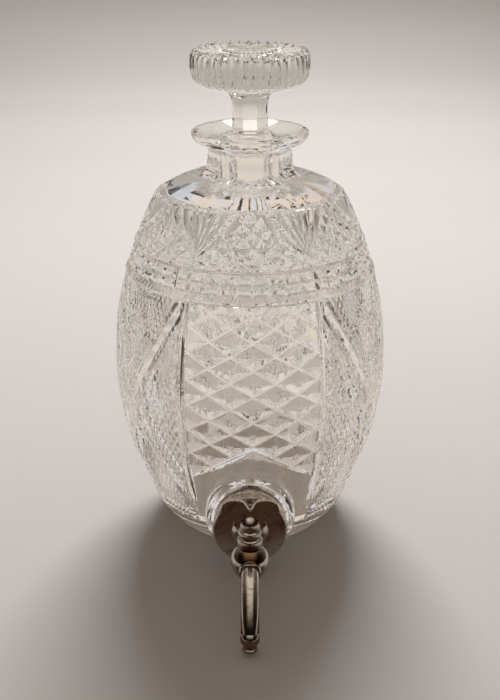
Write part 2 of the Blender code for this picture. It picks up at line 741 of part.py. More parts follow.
def make_heart():
    """Flat heart-shaped thumb-piece, standing in the slot of the plug's dome."""
    curve = bpy.data.curves.new("heart_handle", "CURVE")
    curve.dimensions = "2D"
    curve.fill_mode = "BOTH"
    curve.extrude = HEART_THICKNESS / 2
    curve.resolution_u = 3
    right = [(x * HEART_WIDTH / 2, z * HEART_HEIGHT) for x, z in HEART_SHARES]
    left = [(-x, z) for x, z in reversed(right[1:])]
    outline = right + left
    spline = curve.splines.new("BEZIER")
    spline.bezier_points.add(len(outline) - 1)
    spline.use_cyclic_u = True
    corners = (0, len(right) - 1, len(right))
    for index, (x, z) in enumerate(outline):
        point = spline.bezier_points[index]
        point.co = (x, z, 0.0)
        kind = "VECTOR" if index in corners else "AUTO"
        point.handle_left_type = kind
        point.handle_right_type = kind
    heart = mesh_from_curve(curve, "heart_handle", SILVER)
    heart.rotation_euler = (pi / 2, 0.0, 0.0)
    stand_on_key_axis(heart)
    for vertex in heart.data.vertices:
        vertex.co.y += HEART_FOOT
    edge = heart.modifiers.new("rounded_edge", "BEVEL")
    edge.width = HEART_EDGE
    edge.segments = 1
    edge.limit_method = "ANGLE"
    edge.angle_limit = radians(60)


def spout_point(angle, stray=0.0):
    """Place and direction on the tube's centre line, angle round its bend."""
    radius = TUBE_BEND_RADIUS - stray
    reach = TUBE_START + TUBE_LEAD + radius * sin(angle)
    height = TAP_HEIGHT - TUBE_BEND_RADIUS + radius * cos(angle)
    return Vector((0.0, -reach, height))


def make_spout():
    """Bent tube on the tap's spigot, with a ferrule and a knuckle that turns it down."""
    curve = bpy.data.curves.new("spout_tube", "CURVE")
    curve.dimensions = "3D"
    curve.bevel_depth = TUBE_RADIUS
    curve.bevel_resolution = 3
    curve.use_fill_caps = False
    spline = curve.splines.new("POLY")
    bends = 9
    points = [Vector((0.0, -TUBE_START, TAP_HEIGHT))]
    for index in range(bends + 1):
        points.append(spout_point(TUBE_BEND * index / bends))
    spline.points.add(len(points) - 1)
    for target, place in zip(spline.points, points):
        target.co = (*place, 1.0)
    tube = mesh_from_curve(curve, "spout_tube", SILVER)
    shell = tube.modifiers.new("tube_wall", "SOLIDIFY")
    shell.thickness = TUBE_WALL
    shell.offset = -1.0

    inner = TUBE_RADIUS + GAP
    lengthwise = [
        (inner, TUBE_START + FERRULE_LENGTH + GAP),
        (inner + (FERRULE_RADIUS - inner) / 2, TUBE_START + FERRULE_LENGTH + GAP),
        (FERRULE_RADIUS, TUBE_START + FERRULE_LENGTH * 0.75),
        (FERRULE_RADIUS, TUBE_START + FERRULE_LENGTH * 0.35),
        (inner + (FERRULE_RADIUS - inner) / 2, TUBE_START + GAP),
        (inner, TUBE_START + GAP),
    ]
    face_forwards(turned("spout_ferrule", lengthwise, SILVER, closed=True))


def make_nozzle():
    """Round knuckle on the tube's end and the short nozzle that points at the glass."""
    end = spout_point(TUBE_BEND)
    direction = (spout_point(TUBE_BEND) - spout_point(TUBE_BEND - 0.01)).normalized()
    centre = end + direction * (KNUCKLE_RADIUS * 0.55)
    tip = NOZZLE_TIP_HEIGHT - centre.z
    waist = NOZZLE_RADIUS
    join = pi / 2 - atan2(waist, KNUCKLE_RADIUS)
    profile = arc((0.0, 0.0), KNUCKLE_RADIUS, pi / 2, -join, 9)
    profile += [
        (waist, tip + 2 * NOZZLE_BEAD_HEIGHT),
        (waist, tip + NOZZLE_BEAD_HEIGHT),
        (NOZZLE_BEAD_RADIUS, tip + NOZZLE_BEAD_HEIGHT * 0.7),
        (NOZZLE_BEAD_RADIUS, tip + NOZZLE_BEAD_HEIGHT * 0.3),
        (waist, tip),
        (0.0, tip),
    ]
    nozzle = turned("spout_nozzle", profile, SILVER)
    nozzle.location = centre

    tilt = direction.to_track_quat("Z", "Y").to_euler()
    seat = rod("nozzle_seat", 2 * KNUCKLE_RADIUS, -3 * KNUCKLE_RADIUS, 0.0)
    seat.rotation_euler = tilt
    seat.location = end + direction * GAP
    boolean(nozzle, seat, "DIFFERENCE")
    spigot_radius = TUBE_RADIUS - TUBE_WALL - GAP
    spigot = rod("nozzle_spigot", spigot_radius, -TUBE_WALL, KNUCKLE_RADIUS / 2, 16)
    spigot.rotation_euler = tilt
    spigot.location = end
    boolean(nozzle, spigot, "UNION")
    inlet = rod("nozzle_inlet", WATERWAY_RADIUS, -KNUCKLE_RADIUS, KNUCKLE_RADIUS * 0.6, 16)
    inlet.rotation_euler = tilt
    inlet.location = end
    boolean(nozzle, inlet, "DIFFERENCE")
    outlet = rod("nozzle_outlet", WATERWAY_RADIUS, tip - OVERRUN, 0.0, 16)
    outlet.location = centre
    boolean(nozzle, outlet, "DIFFERENCE")


def make_inner_fixings():
    """Rubber washer, silver plate and hexagon nut on the shank, inside the jar."""
    hole = SHANK_RADIUS + GAP
    front = SPOT_FACE_REACH - GAP
    washer = washer_profile(hole, INNER_DISC_RADIUS, front - INNER_WASHER_THICKNESS, front)
    face_forwards(turned("inner_washer", washer, RUBBER, closed=True))
    front -= INNER_WASHER_THICKNESS + GAP
    plate = washer_profile(hole, INNER_DISC_RADIUS, front - INNER_PLATE_THICKNESS, front)
    face_forwards(turned("inner_plate", plate, SILVER, closed=True))
    front -= INNER_PLATE_THICKNESS + GAP
    for nut in hexagon_nut("inner_nut", INNER_NUT_RADIUS, front - INNER_NUT_THICKNESS, front, hole):
        face_forwards(nut)


# Sizes that follow from the ones above
FAN_TOP = BODY_HEIGHT - SHOULDER_HEIGHT
BAND_TOP = FAN_TOP - FAN_HEIGHT
BAND_BOTTOM = BAND_TOP - BAND_HEIGHT
CUT_ROWS = LATTICE_ROWS_ABOVE + LATTICE_ROWS_BELOW + HOBNAIL_ROWS
LATTICE_ROW = (BAND_BOTTOM - FOOT_RIM_HEIGHT) / (CUT_ROWS + FIRST_ROW_SHARE + LAST_ROW_SHARE)
LIP_TOP = BODY_HEIGHT + NECK_HEIGHT + LIP_HEIGHT
HEAD_BOTTOM = LIP_TOP + HEAD_RISE
PLUG_BOTTOM = LIP_TOP - FUNNEL_DEPTH - PLUG_LENGTH
BOSS_REACH = jar_radius(TAP_HEIGHT + BOSS_RADIUS) + BOSS_RISE
WASHER_BACK = BOSS_REACH + GAP
COLLAR_BACK = WASHER_BACK + BOSS_WASHER_THICKNESS + GAP
COLLAR_FRONT = COLLAR_BACK + COLLAR_DEPTH
BALL_REACH = COLLAR_FRONT + TRUMPET_LENGTH
SPOT_FACE_REACH = jar_radius(TAP_HEIGHT) - WALL + SPOT_FACE_DEPTH
FIXINGS_LENGTH = INNER_WASHER_THICKNESS + INNER_PLATE_THICKNESS + INNER_NUT_THICKNESS + 3 * GAP
SHANK_END_REACH = SPOT_FACE_REACH - FIXINGS_LENGTH - SHANK_TAIL
TUBE_START = BALL_REACH + sqrt(BALL_RADIUS ** 2 - (SPIGOT_RADIUS + TUBE_WALL) ** 2) + GAP
HEART_FOOT = SEAT_HALF_HEIGHT + GAP + KEY_RING_HEIGHT + KEY_BEAD_HEIGHT + HEART_FOOT_DEPTH

clear_scene()
GLASS = principled("cut_glass", (0.93, 0.94, 0.94), 0.02, 0.0, 1.0)
SILVER = principled("silver_plate", (0.72, 0.69, 0.65), 0.14, 1.0)
STEEL = principled("plain_steel", (0.45, 0.45, 0.46), 0.35, 1.0)
CORK = principled("cork", (0.16, 0.11, 0.07), 0.85)
RUBBER = principled("rubber", (0.05, 0.045, 0.04), 0.8)
make_bottle()
make_stopper()
make_collar_and_washer()
make_tap_body()
make_key()
make_heart()
make_spout()
make_nozzle()
make_inner_fixings()
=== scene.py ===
from math import atan2, ceil, cos, floor, hypot, pi, radians, sin, sqrt, tan

import bmesh
import bpy
from mathutils import Matrix, Vector
from mathutils.geometry import delaunay_2d_cdt


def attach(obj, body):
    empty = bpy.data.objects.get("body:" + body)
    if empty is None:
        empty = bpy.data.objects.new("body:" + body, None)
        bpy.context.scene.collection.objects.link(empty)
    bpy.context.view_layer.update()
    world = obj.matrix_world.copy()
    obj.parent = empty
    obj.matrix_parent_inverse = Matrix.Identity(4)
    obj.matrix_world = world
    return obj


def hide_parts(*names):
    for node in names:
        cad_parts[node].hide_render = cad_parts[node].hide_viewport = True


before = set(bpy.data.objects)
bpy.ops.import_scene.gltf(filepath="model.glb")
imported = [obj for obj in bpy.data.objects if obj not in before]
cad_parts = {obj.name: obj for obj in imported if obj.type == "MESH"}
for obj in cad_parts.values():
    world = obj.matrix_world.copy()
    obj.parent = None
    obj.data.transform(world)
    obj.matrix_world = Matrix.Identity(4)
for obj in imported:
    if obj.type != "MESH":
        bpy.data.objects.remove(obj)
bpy.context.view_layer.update()  # bodies, nodes, joints, record

# Camera
# A studio camera stands 0.8 m in front of the jar, above its stopper, and looks down at it,
# so the picture holds nothing but the jar and the sheet that it stands on.
MM = 0.001
CAMERA_REACH = 807 * MM
CAMERA_HEIGHT = 434 * MM
CAMERA_TILT = radians(21.5)
SENSOR = 36.0
PICTURE_HEIGHT = 700
FOCUS_IN_PIXELS = 1290
camera_data = bpy.data.cameras.new("studio_camera")
camera_data.sensor_width = SENSOR
camera_data.lens = FOCUS_IN_PIXELS * SENSOR / PICTURE_HEIGHT
camera_data.clip_start = CAMERA_REACH / 100
camera_data.clip_end = CAMERA_REACH * 100
camera = bpy.data.objects.new("studio_camera", camera_data)
camera.location = (0.0, -CAMERA_REACH, CAMERA_HEIGHT)
camera.rotation_euler = (pi / 2 - CAMERA_TILT, 0.0, 0.0)
bpy.context.scene.collection.objects.link(camera)
bpy.context.scene.camera = camera
bpy.context.scene.view_settings.view_transform = "Standard"

# Paper sheet and studio light
# A wide roll of warm white paper lies under the jar and curves up behind it. One soft box hangs
# over the paper, behind the jar. Silver and glass see the paper and the room in tones of their
# own, and a bright patch of the room in place of the box.
FLOOR_HALF = 6.0
SWEEP_START = 1.7
SWEEP_RADIUS = 0.8
SWEEP_TOP = 2.6
SWEEP_STEPS = 24
# Painted shade: the paper's tones by distance behind the jar, darkest under the soft box.
PAPER_TONES_WITH_PAINTED_SHADE = (
    (-0.25, 0xECE7E4), (0.10, 0xE7E2DF), (0.50, 0xDAD6D3), (0.82, 0xCCC9C6), (1.10, 0xC6C3C0),
    (1.45, 0xCDC9C6), (2.00, 0xF0ECE8),
)
FIBRE_SCALE = 600.0
TOOTH_DEPTH = 0.0005
# Painted reflection: the dark brown that silver sees on the paper before the tap.
SILVER_PAINTED_REFLECTION_TONE = 0x4C382C
SILVER_PAPER_ALONG = (-0.115, -0.165)
SILVER_PAPER_ACROSS = (0.18, 0.07)
PAPER_THROUGH_GLASS = 0xA99C8E
FAR_PAPER_THROUGH_GLASS = 0xECE5DD
GLASS_PAPER_ALONG = (0.45, 0.15)
PAPER_SHARE_THROUGH_GLASS = 0.42
ROOM_FILL = 0x7A736D
ROOM_FRONT = 0x1E150E
ROOM_BEHIND = 0x6E6258
ROOM_OVER = 0xF2E7DA
ROOM_THROUGH_GLASS = 0xBDB2A6
SIDES_THROUGH_GLASS = 0x2E2621
FRONT_TO_BEHIND = (-0.3, 0.9)
OVERHEAD_LEAN = 0.6
OVERHEAD_RISE = (-0.20, 1.00)
OVERHEAD_SIDES = (0.80, 0.30)
SOFT_BOX_PLACE = (0.08, 1.35, 1.35)
GLINT = 5.0
GLINT_EDGE = (0.955, 0.985)
SOFT_BOX_WIDTH = 0.85
SOFT_BOX_DEPTH = 0.60
SOFT_BOX_POWER = 31.0
AIM = Vector((0.0, -0.2, 0.0))


def colour(hex_value, alpha=1.0):
    """Linear colour of an sRGB hex value."""
    shares = [((hex_value >> shift) & 255) / 255 for shift in (16, 8, 0)]
    linear = [s / 12.92 if s <= 0.04045 else ((s + 0.055) / 1.055) ** 2.4 for s in shares]
    return (*linear, alpha)


def add_node(tree, kind, links=None, **settings):
    """Add a node. Settings are its properties, and links give inputs a value or an output."""
    made = tree.nodes.new(kind)
    for name, value in settings.items():
        setattr(made, name, value)
    for name, source in (links or {}).items():
        if isinstance(source, bpy.types.NodeSocket):
            tree.links.new(source, made.inputs[name])
        else:
            made.inputs[name].default_value = source
    return made


def new_material(name):
    material = bpy.data.materials.new(name)
    material.use_nodes = True
    tree = material.node_tree
    return material, tree, tree.nodes["Principled BSDF"]


def link_object(name, mesh):
    made = bpy.data.objects.new(name, mesh)
    bpy.context.scene.collection.objects.link(made)
    return made


# Matt card: a soft, warm white with a fine tooth. Its colour is painted darker from half a metre to
# a metre and a half behind the jar, under the soft box, as painted shade that tones down the lamp's
# pool of light there, and paler again up the curve.
paper, tree, shader = new_material("matt_card_sheet")
place = add_node(tree, "ShaderNodeTexCoord")
fibres = add_node(
    tree, "ShaderNodeTexNoise", {"Vector": place.outputs["Object"], "Scale": FIBRE_SCALE, "Detail": 3.0}
)
tooth = add_node(
    tree, "ShaderNodeBump",
    {"Height": fibres.outputs[0], "Strength": 0.08, "Distance": TOOTH_DEPTH},
)
tree.links.new(tooth.outputs[0], shader.inputs["Normal"])
parts = add_node(tree, "ShaderNodeSeparateXYZ", {0: place.outputs["Object"]})
near, far = PAPER_TONES_WITH_PAINTED_SHADE[0][0], PAPER_TONES_WITH_PAINTED_SHADE[-1][0]
along = add_node(
    tree, "ShaderNodeMapRange", {"Value": parts.outputs["Y"], "From Min": near, "From Max": far}
)
# Painted shade: a ramp of paper tones that darkens the paper under the soft box.
painted_shade_ramp = add_node(tree, "ShaderNodeValToRGB", {0: along.outputs[0]})
stops = painted_shade_ramp.color_ramp.elements
stops.remove(stops[1])
stops[0].color = colour(PAPER_TONES_WITH_PAINTED_SHADE[0][1])
for distance, tone in PAPER_TONES_WITH_PAINTED_SHADE[1:]:
    stops.new((distance - near) / (far - near)).color = colour(tone)
tree.links.new(painted_shade_ramp.outputs[0], shader.inputs["Base Color"])
shader.inputs["Roughness"].default_value = 0.9
shader.inputs["Specular IOR Level"].default_value = 0.1
# Light that the jar focuses on the paper isn't traced, so glass sees some of it as a glow.
rays = add_node(tree, "ShaderNodeLightPath")
under_jar = add_node(
    tree, "ShaderNodeMapRange",
    {"Value": parts.outputs["Y"], "From Min": GLASS_PAPER_ALONG[0],
     "From Max": GLASS_PAPER_ALONG[1]},
    interpolation_type="SMOOTHSTEP",
)
share = add_node(
    tree, "ShaderNodeMath", {0: rays.outputs["Is Transmission Ray"], 1: PAPER_SHARE_THROUGH_GLASS},
    operation="MULTIPLY",
)
through_tone = add_node(
    tree, "ShaderNodeMix",
    {0: under_jar.outputs[0], 6: colour(FAR_PAPER_THROUGH_GLASS), 7: colour(PAPER_THROUGH_GLASS)},
    data_type="RGBA",
)
glow = add_node(tree, "ShaderNodeEmission", {"Color": through_tone.outputs[2]})
seen = add_node(
    tree, "ShaderNodeMixShader", {0: share.outputs[0], 1: shader.outputs[0], 2: glow.outputs[0]}
)
# Painted reflection: for mirror rays only, the paper before the tap turns into a dark brown glow, so the
# silver mirrors a dark front there.
in_front = add_node(
    tree, "ShaderNodeMapRange",
    {"Value": parts.outputs["Y"], "From Min": SILVER_PAPER_ALONG[0],
     "From Max": SILVER_PAPER_ALONG[1]},
    interpolation_type="SMOOTHSTEP",
)
aside = add_node(tree, "ShaderNodeMath", {0: parts.outputs["X"]}, operation="ABSOLUTE")
before = add_node(
    tree, "ShaderNodeMapRange",
    {"Value": aside.outputs[0], "From Min": SILVER_PAPER_ACROSS[0],
     "From Max": SILVER_PAPER_ACROSS[1], "To Max": in_front.outputs[0]},
    interpolation_type="SMOOTHSTEP",
)
mirrored = add_node(
    tree, "ShaderNodeMath", {0: before.outputs[0], 1: rays.outputs["Is Glossy Ray"]},
    operation="MULTIPLY",
)
painted_dark_reflection = add_node(tree, "ShaderNodeEmission", {"Color": colour(SILVER_PAINTED_REFLECTION_TONE)})
sheet_look = add_node(
    tree, "ShaderNodeMixShader", {0: mirrored.outputs[0], 1: seen.outputs[0], 2: painted_dark_reflection.outputs[0]}
)
tree.links.new(sheet_look.outputs[0], tree.nodes["Material Output"].inputs["Surface"])

sheet = bmesh.new()
profile = [(-FLOOR_HALF, 0.0)]
for step in range(SWEEP_STEPS + 1):
    turn = pi / 2 * step / SWEEP_STEPS
    profile.append((SWEEP_START + SWEEP_RADIUS * sin(turn), SWEEP_RADIUS * (1 - cos(turn))))
profile.append((SWEEP_START + SWEEP_RADIUS, SWEEP_TOP))
rows = [[sheet.verts.new((side, y, z)) for side in (-FLOOR_HALF, FLOOR_HALF)] for y, z in profile]
for near, far in zip(rows, rows[1:]):
    sheet.faces.new((near[0], near[1], far[1], far[0]))
sheet_mesh = bpy.data.meshes.new("paper_sheet")
sheet.to_mesh(sheet_mesh)
sheet.free()
sheet_mesh.shade_smooth()
sheet_mesh.materials.append(paper)
link_object("paper_sheet", sheet_mesh)

# The room: dim to the front and warm overhead for silver, paler and more even through glass.
world = bpy.data.worlds.new("studio_room")
bpy.context.scene.world = world
world.use_nodes = True
tree = world.node_tree
tree.nodes.clear()
direction = add_node(tree, "ShaderNodeTexCoord")
parts = add_node(tree, "ShaderNodeSeparateXYZ", {0: direction.outputs["Generated"]})
behind = add_node(
    tree, "ShaderNodeMapRange",
    {"Value": parts.outputs["Y"], "From Min": FRONT_TO_BEHIND[0], "From Max": FRONT_TO_BEHIND[1]},
    interpolation_type="SMOOTHSTEP",
)
mirrored = add_node(
    tree, "ShaderNodeMix",
    {0: behind.outputs[0], 6: colour(ROOM_FRONT), 7: colour(ROOM_BEHIND)}, data_type="RGBA",
)
lean = add_node(
    tree, "ShaderNodeMath", {0: parts.outputs["Y"], 1: OVERHEAD_LEAN, 2: parts.outputs["Z"]},
    operation="MULTIPLY_ADD",
)
sideways = add_node(tree, "ShaderNodeMath", {0: parts.outputs["X"]}, operation="ABSOLUTE")
overhead_share = add_node(
    tree, "ShaderNodeMapRange",
    {"Value": lean.outputs[0], "From Min": OVERHEAD_RISE[0], "From Max": OVERHEAD_RISE[1]},
    interpolation_type="SMOOTHSTEP",
)
over = add_node(
    tree, "ShaderNodeMapRange",
    {"Value": sideways.outputs[0], "From Min": OVERHEAD_SIDES[0], "From Max": OVERHEAD_SIDES[1],
     "To Max": overhead_share.outputs[0]},
    interpolation_type="SMOOTHSTEP",
)
overhead = add_node(
    tree, "ShaderNodeMix",
    {0: over.outputs[0], 6: mirrored.outputs[2], 7: colour(ROOM_OVER)}, data_type="RGBA",
)
rays = add_node(tree, "ShaderNodeLightPath")
lit = add_node(
    tree, "ShaderNodeMix",
    {0: rays.outputs["Is Glossy Ray"], 6: colour(ROOM_FILL), 7: overhead.outputs[2]},
    data_type="RGBA",
)
through = add_node(
    tree, "ShaderNodeMix",
    {0: behind.outputs[0], 6: colour(SIDES_THROUGH_GLASS), 7: colour(ROOM_THROUGH_GLASS)},
    data_type="RGBA",
)
room = add_node(
    tree, "ShaderNodeMix",
    {0: rays.outputs["Is Transmission Ray"], 6: lit.outputs[2], 7: through.outputs[2]},
    data_type="RGBA",
)
towards_box = add_node(
    tree, "ShaderNodeVectorMath",
    {0: direction.outputs["Generated"], 1: Vector(SOFT_BOX_PLACE).normalized()},
    operation="DOT_PRODUCT",
)
glint = add_node(
    tree, "ShaderNodeMapRange",
    {"Value": towards_box.outputs["Value"], "From Min": GLINT_EDGE[0], "From Max": GLINT_EDGE[1],
     "To Max": GLINT},
    interpolation_type="SMOOTHSTEP",
)
strength = add_node(
    tree, "ShaderNodeMath", {0: glint.outputs[0], 1: rays.outputs["Is Glossy Ray"], 2: 1.0},
    operation="MULTIPLY_ADD",
)
background = add_node(
    tree, "ShaderNodeBackground", {"Color": room.outputs[2], "Strength": strength.outputs[0]}
)
add_node(tree, "ShaderNodeOutputWorld", {"Surface": background.outputs[0]})

lamp_data = bpy.data.lights.new("soft_box", "AREA")
lamp_data.shape = "RECTANGLE"
lamp_data.size = SOFT_BOX_WIDTH
lamp_data.size_y = SOFT_BOX_DEPTH
lamp_data.energy = SOFT_BOX_POWER
lamp = bpy.data.objects.new("soft_box", lamp_data)
lamp.location = SOFT_BOX_PLACE
lamp.rotation_euler = (AIM - Vector(SOFT_BOX_PLACE)).to_track_quat("-Z", "Y").to_euler()
# The box's own image would clip to white in the cut glass, so the room's bright patch shows there.
lamp.visible_glossy = False
lamp.visible_transmission = False
bpy.context.scene.collection.objects.link(lamp)

# The jar
# Heavy blown lead glass, cut on wheels and polished: six panels round the barrel, three with a
# lattice of diamonds and three with crossed arms, under a belt of blocks and a row of fans.
# Each panel is drawn flat, as (distance round, height) in millimetres, and then wrapped round.
BARREL_RADIUS = 89.3
BARREL_HEIGHT = 236.0
OUTLINE_SHARES = (
    (0.000, 0.593), (0.051, 0.700), (0.127, 0.785), (0.212, 0.876), (0.318, 0.958),
    (0.425, 0.997), (0.500, 1.000), (0.560, 0.993), (0.637, 0.970), (0.743, 0.905),
    (0.807, 0.850), (0.870, 0.787), (0.934, 0.712), (0.968, 0.655), (0.988, 0.575),
    (1.000, 0.440),
)
PATTERN_TURN = radians(1.2)
PANELS = 6
PANEL_HALF = pi / PANELS * BARREL_RADIUS
FOOT_TOP = 12.0

BORDER = 44.9
BORDER_WIDTH = 1.3
BORDER_DEPTH = 1.9
BORDER_FOOT = 26.0

DIAMOND_DEPTH = 2.1
DIAMOND_COLUMN = 14.42
DIAMOND_ROW = 8.5
DIAMOND_CENTRE = 118.7
DIAMOND_STRIP = 0.42
GABLE = DIAMOND_CENTRE - 4 * DIAMOND_ROW
LATTICE_TOP = 174.2
STAR_LENGTHS = (4.6, 3.9, 3.4, 3.9)
STAR_WIDTH = 0.55
STAR_DEPTH = 0.60
STAR_DROP = 0.8

BELT_BOTTOM = 175.5
BELT_TOP = 197.2
HOOP_WIDTH = 2.6
HOOP_RISE = 0.8
BLOCK_WIDTH = PANEL_HALF / 4
BLOCK_CUT = 2.1
BLOCK_DEPTH = 1.9

FAN_FOOT = 199.0
FAN_TOP = 226.2
FAN_STEP = radians(15)
FAN_RAYS = 4
FAN_DEPTH = 1.9
FAN_SLOPE_SHARE = 0.085
FIELD_DEPTH = 1.5
FIELD_ROWS = 3

ARM_CENTRE = 106.4
ARM_SLOPE = 1.67
HOBNAIL_PITCH = 4.0
HOBNAIL_DEPTH = 1.0
ARM_DEPTH = 2.0
ARM_CUT = 1.9
ARM_FOOT_RISE = 6.0
PUNTY_RADIUS = 2.7
PUNTY_DEPTH = 0.9
PUNTY_PLACES = ((32.3, 128.0), (32.3, 109.0), (32.3, 90.0), (24.2, 118.5), (24.2, 99.5))
SUNBURST_CENTRE = (0.0, 152.0)
SUNBURST_RADIUS = 14.0
SUNBURST_RAYS = 8
KITE_FOOT = 112.0
KITE_TOP = 134.0
KITE_WIDTH = 5.2
KITE_DEPTH = 2.4


def smooth_value(shares, position):
    """Smooth curve through (position, value) shares."""
    last = len(shares) - 2
    index = 0
    while index < last and position > shares[index + 1][0]:
        index += 1
    start, end = shares[index], shares[index + 1]
    before, after = shares[max(index - 1, 0)], shares[min(index + 2, last + 1)]
    span = end[0] - start[0]
    step = min(max((position - start[0]) / span, 0.0), 1.0)
    slope_start = (end[1] - before[1]) / (end[0] - before[0]) * span
    slope_end = (after[1] - start[1]) / (after[0] - start[0]) * span
    return (
        (2 * step ** 3 - 3 * step ** 2 + 1) * start[1]
        + (step ** 3 - 2 * step ** 2 + step) * slope_start
        + (3 * step ** 2 - 2 * step ** 3) * end[1]
        + (step ** 3 - step ** 2) * slope_end
    )


def barrel_radius(height):
    return BARREL_RADIUS * smooth_value(OUTLINE_SHARES, height / BARREL_HEIGHT)


class Panel:
    """One panel drawn flat: points, crease lines, and grooves that give depths."""

    def __init__(self):
        self.points = []
        self.edges = []
        self.grooves = []
        self.discs = []

    def point(self, place):
        self.points.append(Vector(place))
        return len(self.points) - 1

    def line(self, start, end, step=None):
        """A crease from start to end, with points along it every step."""
        start, end = Vector(start), Vector(end)
        count = max(1, ceil((end - start).length / step)) if step else 1
        ids = [self.point(start.lerp(end, index / count)) for index in range(count + 1)]
        self.edges.extend(zip(ids, ids[1:]))

    def crease(self, start, end, limits):
        """A crease, cut off at half-planes (a, b, c) where a * u + b * v <= c."""
        start, end = Vector(start), Vector(end)
        run = end - start
        low, high = 0.0, 1.0
        for a, b, c in limits:
            along = a * run.x + b * run.y
            room = c - a * start.x - b * start.y
            if abs(along) < 1e-9:
                if room < -1e-6:
                    return
            elif along > 0:
                high = min(high, room / along)
            else:
                low = max(low, room / along)
        if high - low > 1e-3:
            self.line(start + run * low, start + run * high)

    def groove(self, start, end, width, depth, taper_start=0.0, taper_end=0.0, added=False):
        """A wheel cut with a V section, which may run out to a point at either end."""
        start, end = Vector(start), Vector(end)
        along = (end - start).normalized()
        across = Vector((-along.y, along.x)) * width
        self.line(start, end)
        near, far = start + along * taper_start, end - along * taper_end
        for side in (across, -across):
            if taper_start:
                self.line(start, near + side)
            self.line(near + side, far + side)
            if taper_end:
                self.line(far + side, end)
        length = (end - start).length
        self.grooves.append(
            (start, along, length, width, depth, taper_start, taper_end, added)
        )

    def disc(self, centre, radius, depth, count=10):
        """A punty: a shallow round hollow."""
        def ring(away, number):
            turns = [2 * pi * i / number for i in range(number)]
            return [
                self.point((centre[0] + away * cos(turn), centre[1] + away * sin(turn)))
                for turn in turns
            ]

        ids = ring(radius, count)
        self.edges.extend(zip(ids, ids[1:] + ids[:1]))
        for share, number in ((0.55, 6), (0.0, 1)):
            ring(radius * share, number)
        self.discs.append((Vector(centre), radius, depth))

    def depth(self, place):
        """Depth of the cutting at a place."""
        most, extra = 0.0, 0.0
        for start, along, length, width, depth, taper_start, taper_end, added in self.grooves:
            offset = place - start
            run = offset.dot(along)
            if run < -1e-4 or run > length + 1e-4:
                continue
            across = abs(along.x * offset.y - along.y * offset.x)
            if across >= width:
                continue
            share = 1.0
            if taper_start:
                share = min(share, run / taper_start)
            if taper_end:
                share = min(share, (length - run) / taper_end)
            found = depth * (share - across / width)
            if added:
                extra = max(extra, found)
            else:
                most = max(most, found)
        for centre, radius, depth in self.discs:
            away = (place - centre).length
            if away < radius - 1e-4:
                return depth * (1 - (away / radius) ** 2)
        return most + extra


def lattice_distance(place, centre, row, slope, half_pitch):
    """Distance to the nearest line of two crossing families of parallel lines."""
    nearest = half_pitch
    for sign in (1, -1):
        height = place.y - sign * slope * place.x - centre
        offset = abs(height - row * 2 * floor(height / (2 * row) + 0.5))
        nearest = min(nearest, offset / sqrt(1 + slope ** 2))
    return nearest


def draw_lattice(panel, centre, row, column, strip, halves, span):
    """Strips along two families of lines, and the ridges of the diamonds between them."""
    slope = row / column
    rise = strip * sqrt(1 + slope ** 2)
    reach = slope * PANEL_HALF
    low, high = span
    for limits in halves:
        first = floor((low - centre - reach) / (2 * row))
        last = ceil((high - centre + reach) / (2 * row))
        for k in range(first, last + 1):
            middle = centre + 2 * row * k
            for sign in (1, -1):
                for lift in (-rise, rise) if strip else (0.0,):
                    left = (-PANEL_HALF, middle + lift - sign * reach)
                    right = (PANEL_HALF, middle + lift + sign * reach)
                    panel.crease(left, right, limits)
        for k in range(floor((low - centre) / row), ceil((high - centre) / row) + 1):
            panel.crease((-PANEL_HALF, centre + row * k), (PANEL_HALF, centre + row * k), limits)
        for k in range(-floor(PANEL_HALF / column), floor(PANEL_HALF / column) + 1):
            panel.crease((column * k, low), (column * k, high), limits)


def in_limits(place, limits):
    return all(a * place.x + b * place.y <= c + 1e-4 for a, b, c in limits)


def draw_belt_and_fans(panel):
    """What both kinds of panel share: the belt of blocks, the fans and the field between."""
    for height in (
        LATTICE_TOP, BELT_BOTTOM, BELT_BOTTOM + HOOP_RISE, BELT_BOTTOM + HOOP_WIDTH - HOOP_RISE,
        BELT_BOTTOM + HOOP_WIDTH, BELT_TOP - HOOP_WIDTH, BELT_TOP - HOOP_WIDTH + HOOP_RISE,
        BELT_TOP - HOOP_RISE, BELT_TOP, FAN_FOOT, FAN_TOP,
    ):
        panel.line((-PANEL_HALF, height), (PANEL_HALF, height), BLOCK_WIDTH / 2)
    first = BELT_BOTTOM + HOOP_WIDTH + BLOCK_CUT
    last = BELT_TOP - HOOP_WIDTH - BLOCK_CUT
    rows = (first, (first + last) / 2, last)
    for height in rows:
        for side in (-BLOCK_CUT, 0.0, BLOCK_CUT):
            panel.line((-PANEL_HALF, height + side), (PANEL_HALF, height + side), BLOCK_WIDTH / 2)
    for k in range(-4, 5):
        for side in (-BLOCK_CUT, 0.0, BLOCK_CUT):
            across = BLOCK_WIDTH * k + side
            if abs(across) <= PANEL_HALF + 1e-6:
                panel.line((across, first - BLOCK_CUT), (across, last + BLOCK_CUT))
        for height in rows:
            for x in (-BLOCK_CUT, BLOCK_CUT):
                if abs(BLOCK_WIDTH * k + x) <= PANEL_HALF:
                    for y in (-BLOCK_CUT, BLOCK_CUT):
                        panel.line((BLOCK_WIDTH * k, height), (BLOCK_WIDTH * k + x, height + y))
    for side in (-1, 1):
        for k in range(1, 2 * FAN_RAYS + 1):
            angle = FAN_STEP / 2 * k
            rise = FAN_TOP - FAN_FOOT
            run = rise * tan(angle)
            if run > PANEL_HALF:
                rise, run = PANEL_HALF / tan(angle), PANEL_HALF
            focus = (side * PANEL_HALF, FAN_FOOT)
            panel.line(focus, (side * (PANEL_HALF - run), FAN_FOOT + rise), FAN_POINT_STEP)
    draw_lattice(
        panel, FAN_TOP, FIELD_ROW, FIELD_ROW / FIELD_SLOPE, 0.0, FIELD_HALVES, (FAN_FOOT, FAN_TOP)
    )


